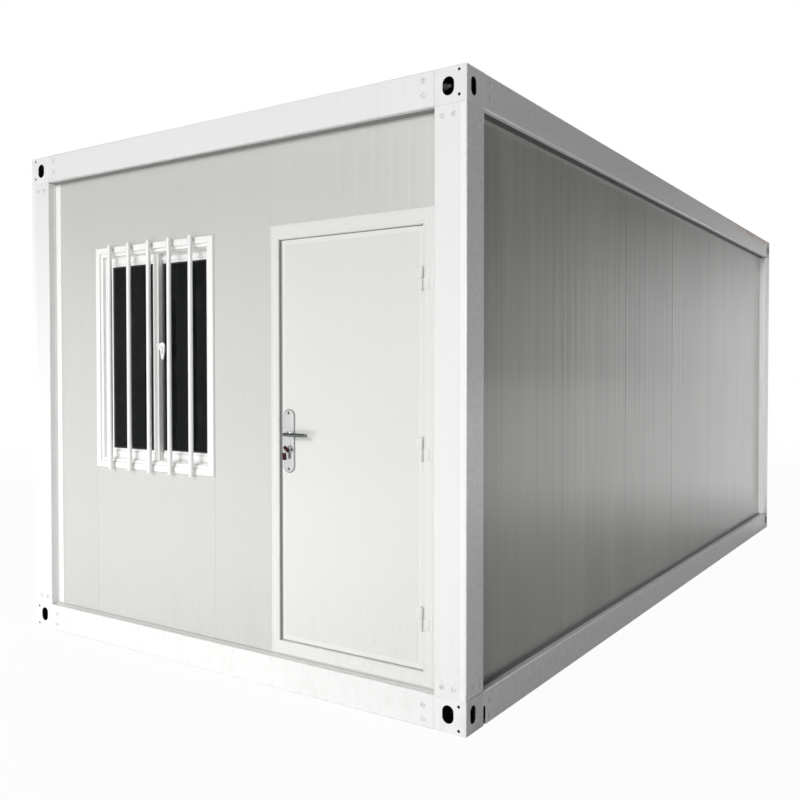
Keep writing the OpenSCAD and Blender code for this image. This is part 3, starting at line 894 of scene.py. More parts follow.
class CONTAINER_OT_steel_frame(bpy.types.Operator):
    """Make the beams, posts and corner fittings"""

    bl_idname = "container.steel_frame"
    bl_label = "Steel frame"

    def execute(self, context):
        sizes = context.scene.container_sizes
        for level in ("top", "base"):
            for side in SIDES:
                make_beam(f"{level}_beam_{side}", sizes)
            for corner in CORNERS:
                make_fitting(f"{level}_fitting_{corner}", sizes)
        self.seat_posts(sizes)
        self.fill_fittings()
        return {"FINISHED"}

    def seat_posts(self, sizes):
        """The posts; the seams at their ends, whose dark seats paint their shade on the side faces while
        white fronts keep them light on the gable faces; and near-black gussets that paint the shade in
        the beams' ends.
        """
        seats, fronts, gussets = new_mesh(), new_mesh(), new_mesh()
        seat_inset, front_inset = 5 * MM, 3 * MM
        front_depths = (0.4 * MM, 4.6 * MM)
        gusset_run, gusset_z = (1.5 * MM, 85 * MM), (6 * MM, 140 * MM)
        for corner in CORNERS:
            make_post("post_" + corner, sizes)
            low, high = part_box("post_" + corner)
            side, across = outer_face("post_" + corner, 0)
            face, along = outer_face("post_" + corner, 1)
            rear = min(low.y, high.y, key=abs)
            for z in ((low.z, low.z + sizes.foot_gap), (high.z - sizes.head_gap, high.z)):
                inner = [(low[i] + seat_inset, high[i] - seat_inset) for i in (0, 1)]
                block(seats, *inner, z, 0.3)
                depths = [face - along * depth for depth in front_depths]
                block(fronts, (low.x + front_inset, high.x - front_inset), depths, z, 0.2)
            web = [side - across * inset for inset in WEB_INSET]
            block(gussets, web, [rear - along * run for run in gusset_run], gusset_z, 0.4)
        # Painted shade: dark seats in the seams on the side faces, and near-black gussets in the beams'
        # ends.
        finished(seats, "post_seats", "rubber")
        finished(fronts, "post_seat_fronts", "frame_paint")
        finished(gussets, "beam_end_gussets", "cavity_primer")

    def fill_fittings(self):
        """The near-black upright web inside each fitting, which paints the shade there, and the bolt
        inside the upper ones.
        """
        shade_webs, bolts = new_mesh(), new_mesh()
        bolt_depth, bolt_up = 60 * MM, 96 * MM
        for corner in CORNERS:
            for level in ("top", "base"):
                node = f"{level}_fitting_{corner}"
                low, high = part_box(node)
                outer, across = outer_face(node, 0)
                spans = [(low[i] + FITTING_SEAT, high[i] - FITTING_SEAT) for i in (1, 2)]
                block(shade_webs, [outer - across * inset for inset in WEB_INSET], *spans, 0.4)
            node = "top_fitting_" + corner
            low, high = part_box(node)
            inner = min(low.x, high.x, key=abs) + across * FITTING_SEAT
            front, along = outer_face(node, 1)
            spot = Vector((inner, front - along * bolt_depth, low.z + bolt_up))
            for reach, radius, sides, rim in ((3, 19, 20, 0.6), (20, 15, 6, 1.2), (38, 9, 18, 1.0)):
                end = spot + Vector((across * reach * MM, 0, 0))
                rod(bolts, spot, end, radius * MM, sides, rim * MM)
        finished(shade_webs, "fitting_webs", "cavity_primer")
        finished(bolts, "fitting_bolts", "fitting_paint", round_to=40)


class CONTAINER_OT_inner_steel(bpy.types.Operator):
    """Make the purlins under the roof and the joists under the floor"""

    bl_idname = "container.inner_steel"
    bl_label = "Purlins and joists"

    def execute(self, context):
        for node in ("roof_purlins", "floor_joists"):
            bm = merged(node)
            soften(bm, sharp(bm), 0.8 * MM, 1)
            finished(bm, node + "_zinc", "galvanised", stands_for=[node])
        return {"FINISHED"}


class CONTAINER_OT_frame_bolts(bpy.types.Operator):
    """Put a bolt into each recess of the frame"""

    bl_idname = "container.frame_bolts"
    bl_label = "Frame bolts"

    def execute(self, context):
        sizes = context.scene.container_sizes
        head = sizes.bolt_radius / MM
        top = sizes.recess_depth / MM - 0.15
        socket = [(0.0, top - 1.3), (2.6, top - 1.3), (2.9, top - 0.05), (3.6, top)]
        dome = [(head * 0.62, top - 0.15), (head * 0.9, top - 0.8), (head, top - 1.7), (head, 0.5)]
        washer = [(head + 1.3, 0.4), (head + 1.5, 0.0), (0.0, 0.0)]
        bolt = turned(18, *socket, *dome, *washer)
        upright = Matrix.Rotation(math.radians(90), 4, "X")
        for side in SIDES:
            bm = new_mesh()
            for place in frame_bolts():
                if place[0] == side:
                    stamp(bm, bolt, facing(*place, sizes.recess_depth) @ upright)
            finished(bm, side + "_frame_bolts", "painted_bolt", round_to=40)
        return {"FINISHED"}


# ------------------------------------------------------------------- walls


def make_panel(low, high, outward, sizes, tone, grooved, front):
    """A sandwich panel with upright grooves pressed into both of its steel skins.

    outward is the axis (0 or 1) and sign of the outer face.
    """
    depth = sizes.front_groove_depth if front else sizes.groove_depth
    rounding = MM if front else sizes.joint_radius
    axis, sign = outward
    along = 1 - axis
    bm = new_mesh()
    place = Matrix.LocRotScale((low + high) / 2, None, high - low)
    bmesh.ops.create_cube(bm, size=1.0, matrix=place)
    outer, inner = (high[axis], low[axis]) if sign > 0 else (low[axis], high[axis])
    width = high[along] - low[along]
    count = max(1, round(width / sizes.rib_pitch)) if grooved else 0
    near = sizes.groove_floor / 2
    far = near + sizes.groove_slope
    normal = Vector((0, 0, 0))
    normal[along] = 1.0
    sunk = []
    for index in range(count):
        centre = low[along] + (index + 0.5) * width / count
        for offset in (-far, -near, near, far):
            geometry = list(bm.verts) + list(bm.edges) + list(bm.faces)
            point = (centre + offset) * normal
            bmesh.ops.bisect_plane(bm, geom=geometry, dist=TINY / 10, plane_co=point, plane_no=normal)
        sunk += [centre - near, centre + near]
    for vert in bm.verts:
        if any(abs(vert.co[along] - line) < TINY for line in sunk):
            if abs(vert.co[axis] - outer) < TINY:
                vert.co[axis] -= sign * depth
            elif abs(vert.co[axis] - inner) < TINY:
                vert.co[axis] += sign * depth / 2
    ends = [low[along], high[along]]
    soften(bm, running(bm, **{"xy"[along]: ends, "xy"[axis]: [outer]}), rounding, 3)
    soften(bm, running(bm, **{"xy"[along]: ends, "xy"[axis]: [inner]}), MM, 1)
    layer = bm.faces.layers.float["tone"]
    for face in bm.faces:
        face[layer] = tone
    return pattern(bm)


def solids_of(node):
    """The boxes of a node's separate solids, in order along the wall."""
    bm = merged(node)
    left, boxes = set(bm.verts), []
    while left:
        group, waiting = set(), [left.pop()]
        while waiting:
            vert = waiting.pop()
            group.add(vert)
            near = {e.other_vert(vert) for e in vert.link_edges} & left
            left -= near
            waiting.extend(near)
        low, high = (Vector([pick(v.co[i] for v in group) for i in range(3)]) for pick in (min, max))
        boxes.append((low, high))
    bm.free()
    return sorted(boxes, key=lambda pair: (round(pair[0].x, 4), round(pair[0].y, 4)))


# The tone of the long walls' panels, a painted shade that darkens them, and how far it varies there.
FLANK_SHADE_TONE, FLANK_SPREAD = -4.2, 0.3
# The axis and the sign of each wall's outer face.
WALLS = {"left_wall": (0, -1), "right_wall": (0, 1), "rear_wall": (1, 1)}
WALLS |= {f"front_wall_{part}": (1, -1) for part in ("left", "middle", "right")}
WALLS |= {f"wall_{part}": (1, -1) for part in ("below_window", "above_window", "above_door")}


class CONTAINER_OT_walls(bpy.types.Operator):
    """Make the sandwich panels and the seals in their joints"""

    bl_idname = "container.walls"
    bl_label = "Wall panels"

    def execute(self, context):
        sizes = context.scene.container_sizes
        draw = random.Random(7)
        seals = new_mesh()
        joint_depth = 1.5 * MM
        for node, outward in WALLS.items():
            bm = new_mesh()
            axis = outward[0]
            along = 1 - axis
            boxes = solids_of(node)
            for low, high in boxes:
                grooved = high[along] - low[along] > sizes.rib_pitch
                # The long walls take the negative tone: painted shade.
                tone = FLANK_SHADE_TONE if axis == 0 else 0.0
                tone += draw.random() * (FLANK_SPREAD if axis == 0 else 1.0)
                front = outward == (1, -1)
                stamp(bm, make_panel(low, high, outward, sizes, tone, grooved, front))
            low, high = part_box(node)
            for (_, first), (second, _) in zip(boxes, boxes[1:]):
                ends = {axis: (low[axis] + joint_depth, high[axis] - joint_depth)}
                ends[along] = (first[along], second[along])
                block(seals, ends[0], ends[1], (low.z + MM, high.z - MM), 0.2)
            finished(bm, node + "_panels", "wall_skin", stands_for=[node])
        finished(seals, "wall_joint_seals", "pale_sealant")
        self.seal_front()
        return {"FINISHED"}

    def seal_front(self):
        """The seals between the front panels, beside the window and above the door's edge."""
        seals = new_mesh()
        low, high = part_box("front_wall_left")
        y = (low.y + 1.2 * MM, high.y - 9 * MM)
        foot = low.z + MM
        for left, right, bottom in (
            ("front_wall_left", "wall_below_window", foot),
            ("wall_below_window", "front_wall_middle", foot),
            ("front_wall_middle", "wall_above_door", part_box("door_frame")[1].z),
        ):
            x = (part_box(left)[1].x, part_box(right)[0].x)
            block(seals, x, y, (bottom, high.z - MM), 0.2)
        finished(seals, "front_joint_seals", "pale_sealant")


class CONTAINER_OT_wall_trims(bpy.types.Operator):
    """Make the corner trims, and the ledge seals and the tape under the top beams, whose colours paint
    light and shade
    """

    bl_idname = "container.wall_trims"
    bl_label = "Trims and seals"

    def execute(self, context):
        sizes = context.scene.container_sizes
        front_low, front_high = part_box("front_wall_left")
        self.foot, self.head = front_low.z, front_high.z
        self.gable = CAD_HIGH.y - abs(front_low.y)
        self.flank = CAD_HIGH.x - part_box("right_wall")[1].x
        self.post_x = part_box("post_front_right")[0].x
        self.post_y = abs(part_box("post_front_right")[1].y)
        self.make_trims(sizes.trim_thickness / MM, sizes.trim_width / MM)
        self.make_ledges(sizes.sill_seal / MM)
        self.make_head_shade_tapes()
        return {"FINISHED"}

    def make_trims(self, thick, width):
        """A folded white angle in each corner but the one beside the door."""
        trims = new_mesh()
        angle = [(0.0, -16.0), (thick, -16.0), (thick, -thick), (width, -thick)]
        angle += [(width + 1.5, -thick * 0.4), (width + 1.5, 0.0), (0.0, 0.0)]
        mirrored = [(-x, y) for x, y in reversed(angle)]
        seam = 0.3 * MM
        for side, half, out in (
            ("front", self.post_x, self.gable),
            ("rear", self.post_x, self.gable),
            ("left", self.post_y, self.flank),
            ("right", self.post_y, self.flank),
        ):
            corners = [(angle, seam - half)]
            if side != "front":
                corners.append((mirrored, half - seam))
            for outline, across in corners:
                place = facing(side, across, self.foot, out)
                faces = prism(trims, outline, place, self.head - self.foot)
                edges = {e for f in faces for e in f.edges}
                edges = [e for e in edges if e.calc_face_angle(0.0) > CORNER_TURN]
                soften(trims, edges, 0.4 * MM, 1)
        finished(trims, "corner_trims", "profile_white")

    def make_ledges(self, wide):
        """The sloped strip that sheds rain from the ledge under each wall: grey on the sides and rear
        and pale on the front, lit and shaded copies that paint the ledge's light and shade.
        """
        shade_ledges, lit_sill = new_mesh(), new_mesh()
        profile = [(0.0, 0.0), (-wide, 0.0), (-wide, 2.0), (4 - wide, 3.2), (-3.0, 5.0), (0.0, 9.0)]
        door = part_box("door_frame")[0]
        door_depth = CAD_HIGH.y + door.y - 0.1 * MM
        x, y = self.post_x, self.post_y
        for mesh, side, start, end, depth in (
            (lit_sill, "front", -x, door.x, self.gable),
            (lit_sill, "front", door.x, x, door_depth),
            (shade_ledges, "right", -y, y, self.flank),
            (shade_ledges, "rear", -x, x, self.gable),
            (shade_ledges, "left", -y, y, self.flank),
        ):
            place = facing(side, start + MM, self.foot, depth)
            prism(mesh, profile, place @ LENGTHWAYS, end - start - 2 * MM)
        # Painted shade on the grey strips of the sides and rear, painted light on the pale front one.
        finished(shade_ledges, "ledge_seals", "sealant")
        finished(lit_sill, "front_ledge_seal", "pale_sealant")

    def make_head_shade_tapes(self):
        """The tape that seals each wall's head under its top beam: a dark strip that paints the shade
        there, darker and taller on the sides and rear than on the front.
        """
        shade_tapes, front_shade_tape = new_mesh(), new_mesh()
        for mesh, side, half, depth, tall in (
            (front_shade_tape, "front", self.post_x, self.gable, 8.0),
            (shade_tapes, "right", self.post_y, self.flank, 11.0),
            (shade_tapes, "rear", self.post_x, self.gable, 14.0),
            (shade_tapes, "left", self.post_y, self.flank, 11.0),
        ):
            tape = [(0.0, -tall), (-1.6, -tall), (-3.0, 1.5 - tall), (-4.0, -5.0)]
            tape += [(-24.0, -2.5), (-25.0, -1.5), (-25.0, 0.0), (0.0, 0.0)]
            place = facing(side, MM - half, self.head, depth)
            prism(mesh, tape, place @ LENGTHWAYS, 2 * (half - MM))
        # Painted shade: the dark strips under the beams; the front one is a lighter grey.
        finished(shade_tapes, "head_tapes", "dark_sealant")
        finished(front_shade_tape, "front_head_tape", "sealant")


# -------------------------------------------------------------------- roof


class CONTAINER_OT_roof(bpy.types.Operator):
    """Make the ribbed roof sheet and its screws"""

    bl_idname = "container.roof"
    bl_label = "Roof"

    def execute(self, context):
        bm = merged("roof_sheet")
        flats = [f.calc_center_median() for f in bm.faces if f.normal.z > 0.99]
        crest = max(centre.z for centre in flats)
        ribs = sorted({round(centre.y, 4) for centre in flats if crest - centre.z < MM})
        soften(bm, sharp(bm, 25), 0.7 * MM, 1)
        finished(bm, "roof_cladding", "roof_skin", stands_for=["roof_sheet"])
        head = [(0, 7.2), (2.4, 7.2), (4.4, 6.2), (4.6, 3.0)]
        screw = turned(14, *head, (7.6, 2.9), (8.0, 2.3), (8.2, 0), (0, 0))
        screws = new_mesh()
        end_distance = 100 * MM
        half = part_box("roof_sheet")[1].x - end_distance
        count = int(2 * half / context.scene.container_sizes.roof_screw_pitch)
        for y in ribs[::2]:
            for index in range(count + 1):
                x = -half + index * 2 * half / count
                stamp(screws, screw, Matrix.Translation((x, y, crest)))
        finished(screws, "roof_screws", "galvanised", round_to=40)
        return {"FINISHED"}


# ---------------------------------------------------------------- interior


def round_room(outline, half_x, half_y, level, front_run):
    """A strip along the walls of the room, which runs so far along the front one."""
    bm = new_mesh()
    gap = 0.3 * MM
    for x, y, turn, run in (
        (gap - half_x, half_y, -90, 2 * half_y),
        (half_x - gap, -half_y, 90, 2 * half_y),
        (half_x, half_y - gap, 180, 2 * half_x),
        (-half_x, gap - half_y, 0, front_run),
    ):
        place = Matrix.Translation((x, y, level)) @ Matrix.Rotation(math.radians(turn), 4, "Z")
        prism(bm, outline, place @ LENGTHWAYS, run)
    return bm


class CONTAINER_OT_interior(bpy.types.Operator):
    """Make the floor covering, the skirting and the strips of the ceiling"""

    bl_idname = "container.interior"
    bl_label = "Interior"

    def execute(self, context):
        half_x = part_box("right_wall")[0].x
        half_y = abs(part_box("front_wall_left")[1].y)
        floor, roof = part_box("floor_board")[1].z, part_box("ceiling")[0].z
        repaint("ceiling", "ceiling_sheet")
        repaint("floor_board", "cement_board")
        bm = new_mesh()
        x, y = half_x - 12 * MM, half_y - 12 * MM
        block(bm, (-x, x), (-y, y), span(floor, 0, 2))
        finished(bm, "floor_covering", "vinyl")
        up = context.scene.container_sizes.skirting_height / MM
        board = [(0.0, 0.0), (12.0, 0.0), (12.0, up - 14), (9.0, up - 5), (4.0, up), (0.0, up)]
        bm = round_room(board, half_x, half_y, floor, half_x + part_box("door_frame")[0].x)
        finished(bm, "skirting", "profile_white")
        wide = 26.0
        cove = [(0.0, 0.0), (0.0, -wide), (2.0, -wide), (wide, -2.0), (wide, 0.0)]
        bm = round_room(cove, half_x, half_y, roof, 2 * half_x)
        x = half_x - wide * MM
        ceiling_bays = 6
        for index in range(1, ceiling_bays):
            y = -half_y + index * 2 * half_y / ceiling_bays
            block(bm, (-x, x), span(y, -14, 14), span(roof, -2.5, 0))
        finished(bm, "ceiling_strips", "profile_white")
        return {"FINISHED"}


# ------------------------------------------------------------------ window

# Outlines as (inward, back) pairs in millimetres, for mitred().
FRAME_OUTLINE = [
    (0, 2), (2, 0), (14, 0), (15, 0.8), (17, 0.8), (18, 0), (32.5, 0), (34, 1.2),
    (35, 9), (36.5, 10), (50.5, 10), (52, 11.5), (52, 84), (50, 86), (2, 86), (0, 84),
]  # fmt: skip
SASH_OUTLINE = [
    (0, 1), (1, 0), (18, 0), (19, 1), (21, 1), (22, 0), (38, 0), (42, 1.5), (50, 7),
    (58, 7), (60, 9), (60, 17), (58, 19), (50, 19), (42, 24.5), (38, 26), (1, 26), (0, 25),
]  # fmt: skip
FRONT_GASKET = [(57, 6.2), (60, 6.4), (64.5, 9.8), (61, 9.9), (57, 8)]
SASH_DEPTH = 26
BACK_GASKET = [(inward, SASH_DEPTH - back) for inward, back in reversed(FRONT_GASKET)]
FRAME_MEMBER = 52 * MM
SASH_MEMBER = 60 * MM


def round_node(bm, outline, node):
    """Runs an outline round the front of a node's box."""
    low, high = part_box(node)
    mitred(bm, outline, (low.x, low.z), (high.x, high.z), low.y)


class CONTAINER_OT_window(bpy.types.Operator):
    """Make the window's frame, sashes, gaskets, glass and latch"""

    bl_idname = "container.window"
    bl_label = "Window"

    def execute(self, context):
        bm = new_mesh()
        round_node(bm, FRAME_OUTLINE, "window_frame")
        name = "window_frame_profile"
        finished(bm, name, "profile_white", stands_for=["window_frame"])
        gaskets = new_mesh()
        for node in ("outer_sash", "inner_sash"):
            bm = new_mesh()
            round_node(bm, SASH_OUTLINE, node)
            self.narrow_stile(bm, node)
            finished(bm, node + "_profile", "profile_white", stands_for=[node])
            bm = new_mesh()
            round_node(bm, FRONT_GASKET, node)
            round_node(bm, BACK_GASKET, node)
            self.narrow_stile(bm, node)
            stamp(gaskets, pattern(bm))
        finished(gaskets, "glazing_gaskets", "rubber")
        bm = new_mesh()
        bead = [(0.2, 3.5), (0.2, 9), (-4.5, 9), (-4.5, 7.8), (-2.5, 5.5)]
        round_node(bm, bead, "window_frame")
        finished(bm, "window_sealant", "pale_sealant")
        repaint("window_glass", "window_glass")
        self.make_latch()
        self.make_tracks()
        return {"FINISHED"}

    def narrow_stile(self, bm, node):
        """Draws in the meeting stile, which is narrower than a sash's other members."""
        outer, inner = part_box("outer_sash"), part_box("inner_sash")
        stile = outer[1].x - inner[0].x
        edge, sign = (outer[1].x, -1) if node == "outer_sash" else (inner[0].x, 1)
        for vert in bm.verts:
            inward = (vert.co.x - edge) * sign
            if inward <= SASH_MEMBER + TINY:
                vert.co.x = edge + sign * inward * stile / SASH_MEMBER
            elif inward < 2 * SASH_MEMBER:
                vert.co.x = edge + sign * (inward - SASH_MEMBER + stile)

    def make_latch(self):
        """The white catch on the meeting stile: a teardrop plate and its lever."""
        sash_low, sash_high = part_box("outer_sash")
        low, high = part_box("window_frame")
        face, edge = sash_low.y, sash_high.x
        x, z = edge + 34 * MM, (low.z + high.z) / 2 + 62 * MM
        bm = new_mesh()
        block(bm, (edge - 16 * MM, x), span(face, -3, -0.2), span(z, -22, 14), 0.8, 2)
        radius = 17 * MM
        place = aimed((x, face, z), (0, -1, 0))
        made = bmesh.ops.create_circle(bm, cap_ends=True, radius=radius, segments=28, matrix=place)
        for vert in made["verts"]:
            drop = max(0.0, (z - vert.co.z) / radius)
            vert.co.z = z + (vert.co.z - z) * (1 + 3.6 * drop)
            vert.co.x = x + (vert.co.x - x) * (1 + 0.25 * drop)
        plate = list(made["verts"][0].link_faces)
        top = verts_in(bmesh.ops.extrude_face_region(bm, geom=plate)["geom"])
        bmesh.ops.translate(bm, verts=top, vec=(0, -8 * MM, 0))
        bmesh.ops.recalc_face_normals(bm, faces=bm.faces)
        soften(bm, edges_between(top), 3 * MM, 3)
        block(bm, span(x, -6, 6), span(face, -15, -7), span(z, -50, -2), 2.5, 3)
        finished(bm, "window_latch", "profile_white", round_to=40)

    def make_tracks(self):
        """The tracks between and in front of the sashes, at the frame's foot and head."""
        low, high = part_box("window_frame")
        outer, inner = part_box("outer_sash"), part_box("inner_sash")
        bm = new_mesh()
        x = (low.x + FRAME_MEMBER, high.x - FRAME_MEMBER)
        middle = (outer[1].y + inner[0].y) / 2
        for edge, tall in ((low.z + FRAME_MEMBER, 6), (high.z - FRAME_MEMBER, -6)):
            block(bm, x, span(middle, -0.6, 0.6), span(edge, 0, tall), 0.2)
            block(bm, x, span(outer[0].y, -5, -0.5), span(edge, 0, tall), 0.5)
        finished(bm, "sash_tracks", "profile_white")


class CONTAINER_OT_window_bars(bpy.types.Operator):
    """Make the round security bars and their feet"""

    bl_idname = "container.window_bars"
    bl_label = "Window bars"

    def execute(self, context):
        sizes = context.scene.container_sizes
        radius = sizes.bar_radius
        foot_radius, foot_inset = 7 * MM, 32 * MM
        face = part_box("window_frame")[0].y
        bm = new_mesh()
        for low, high in solids_of("security_bars"):
            x, y = (low.x + high.x) / 2, low.y + radius
            rod(bm, (x, y, low.z), (x, y, high.z), radius, sizes.turning_steps, 2.5 * MM)
            for z in (low.z + foot_inset, high.z - foot_inset):
                rod(bm, (x, y, z), (x, face, z), foot_radius, 20)
        name, node = "security_bar_rods", "security_bars"
        finished(bm, name, "profile_white", stands_for=[node], round_to=40)
        return {"FINISHED"}


# -------------------------------------------------------------------- door


def groove_ring(bm, outward, level, inset, width, depth):
    """Presses a narrow groove round a flat region, at some distance from its border."""
    faces = flats_at(bm, outward, level)
    for thickness, sunk in ((inset, 0.0), (width / 2, -depth), (width / 2, depth)):
        settings = {"thickness": thickness, "depth": sunk, "use_even_offset": True}
        bmesh.ops.inset_region(bm, faces=faces, **settings)


class CONTAINER_OT_door_frame(bpy.types.Operator):
    """Make the door's frame, its gaskets, its trim and its strike plate"""

    bl_idname = "container.door_frame"
    bl_label = "Door frame"

    def execute(self, context):
        low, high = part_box("door_frame")
        bm = merged("door_frame")
        soften(bm, sharp(bm), 2.8 * MM, 3)
        for outward, level in ((Vector((0, -1, 0)), -low.y), (Vector((0, 1, 0)), high.y)):
            groove_ring(bm, outward, level, 7 * MM, 3 * MM, 1.3 * MM)
        finished(bm, "door_frame_profile", "door_profile", stands_for=["door_frame"])
        self.make_gaskets(low.y)
        bm = new_mesh()
        seam = 0.3 * MM
        x = (high.x + seam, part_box("post_front_right")[0].x - seam)
        block(bm, x, span(low.y, 0.3, 3.8), (low.z + MM, high.z), 0.4)
        finished(bm, "door_side_trim", "door_profile")
        self.make_strike_plate(low.x + 50 * MM)
        bm = new_mesh()
        bead = [(0.0, 0.0), (0.0, -3.4), (-2.0, -3.8), (-8.0, 0.0)]
        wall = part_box("front_wall_middle")[0].y
        place = Matrix.Translation((low.x, wall, low.z + MM))
        prism(bm, bead, place, high.z - low.z)
        finished(bm, "door_sealant", "pale_sealant")
        return {"FINISHED"}

    def make_gaskets(self, face):
        """The lip behind the leaf, and the strips in the gaps beside, above and below it."""
        low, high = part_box("door_leaf")
        side, end = 6 * MM, 9 * MM
        bm = new_mesh()
        lip = [(0.2, 5.0), (0.2, 2.6), (2.0, 1.5), (6.5, 1.5), (8.0, 2.8), (8.0, 5.0)]
        mitred(bm, lip, (low.x + side, low.z + end), (high.x - side, high.z - end), high.y)
        finished(bm, "door_gasket", "pale_sealant")
        bm = new_mesh()
        y = span(face, 3, 29)
        block(bm, span(low.x, -10, -7), y, (low.z, high.z), 0.8)
        for z in (span(high.z, 1.8, 4.9), span(low.z, -4.9, -1.6)):
            block(bm, (low.x, high.x), y, z, 0.5)
        finished(bm, "rebate_gasket", "pale_sealant")

    def make_strike_plate(self, jamb):
        """The bright plate on the jamb that takes the lock's bolt."""
        low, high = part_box("lock_plates")
        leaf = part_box("door_leaf")[0].y
        bm = new_mesh()
        z = (low.z + 55 * MM, high.z - 55 * MM)
        block(bm, span(jamb, 0, 1.5), span(leaf, 6, 35), z, 0.4)
        finished(bm, "strike_plate", "chrome")


class CONTAINER_OT_door_leaf(bpy.types.Operator):
    """Make the door leaf, the profile round it and the grey seal on its edge, which paints the shade of
    the gap beside it
    """

    bl_idname = "container.door_leaf"
    bl_label = "Door leaf"

    def execute(self, context):
        edging = context.scene.container_sizes.leaf_edging
        low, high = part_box("door_leaf")
        width, deep = edging / MM, (high.y - low.y) / MM
        outline = [
            (0, 3.6), (0.9, 1.5), (2.4, 0.4), (4.5, 0), (width - 7, 0), (width - 3, 0.5),
            (width - 0.6, 1.4), (width, 2.2), (width, deep - 2.2), (width - 0.6, deep - 1.4),
            (width - 3, deep - 0.5), (width - 7, deep), (1.8, deep), (0.6, deep - 0.5),
            (0, deep - 1.6),
        ]  # fmt: skip
        bm = new_mesh()
        round_node(bm, outline, "door_leaf")
        finished(bm, "door_leaf_edging", "door_profile", "door")
        # Painted shade: a grey strip along the leaf's left edge darkens it like the shaded gap beside
        # it.
        bm = new_mesh()
        z = (low.z + 2 * MM, high.z - 2 * MM)
        block(bm, span(low.x, 0.4, 8), span(low.y, -0.5, 0.4), z, 0.3)
        finished(bm, "leaf_edge_seal", "sealant", "door")
        bm = new_mesh()
        inset = edging - 0.2 * MM
        low += Vector((inset, 1.3 * MM, inset))
        high -= Vector((inset, 1.3 * MM, inset))
        block(bm, *zip(low, high), 0.3)
        tone = bm.faces.layers.float["tone"]
        for face in bm.faces:
            face[tone] = 0.5
        finished(bm, "door_leaf_skin", "leaf_skin", "door", ["door_leaf"])
        return {"FINISHED"}


class CONTAINER_OT_hinges(bpy.types.Operator):
    """Make the hinges and their screws"""

    bl_idname = "container.hinges"
    bl_label = "Hinges"

    def execute(self, context):
        for node, body in (("frame_hinges", "container"), ("leaf_hinges", "door")):
            bm = merged(node)
            soften(bm, sharp(bm, 50), 0.6 * MM, 2)
            finished(bm, node + "_plates", "door_profile", body, [node], 35)
        screw = turned(16, (0, 0.5), (1.0, 0.5), (1.4, 1.1), (3.4, 0.8), (4.2, 0.0), (0, 0))
        cap = turned(20, (0, 4.6), (3.5, 4.2), (6.0, 2.6), (6.6, 0.6), (6.6, 0.0), (0, 0))
        frame_screws, leaf_screws, caps = new_mesh(), new_mesh(), new_mesh()
        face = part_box("door_frame")[0].y
        leaf_low, leaf_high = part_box("door_leaf")
        screw_inset, plate_height = 13 * MM, 2.4 * MM
        leaf_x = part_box("leaf_hinges")[0].x + screw_inset
        pin = (leaf_high.x + 2.5 * MM, face - 8 * MM)
        for low, high in solids_of("frame_hinges"):
            middle = (low.z + high.z) / 2
            for z in (low.z + 12 * MM, low.z + 36 * MM):
                place = (high.x - screw_inset, face - plate_height, z)
                stamp(frame_screws, screw, aimed(place, (0, -1, 0)))
            for z in (middle + 14 * MM, middle + 38 * MM):
                place = (leaf_x, leaf_low.y - plate_height, z)
                stamp(leaf_screws, screw, aimed(place, (0, -1, 0)))
            stamp(caps, cap, aimed((*pin, low.z), (0, 0, -1)))
        finished(frame_screws, "frame_hinge_screws", "door_profile", round_to=40)
        finished(leaf_screws, "leaf_hinge_screws", "door_profile", "door", round_to=40)
        finished(caps, "hinge_caps", "door_profile", round_to=40)
        return {"FINISHED"}


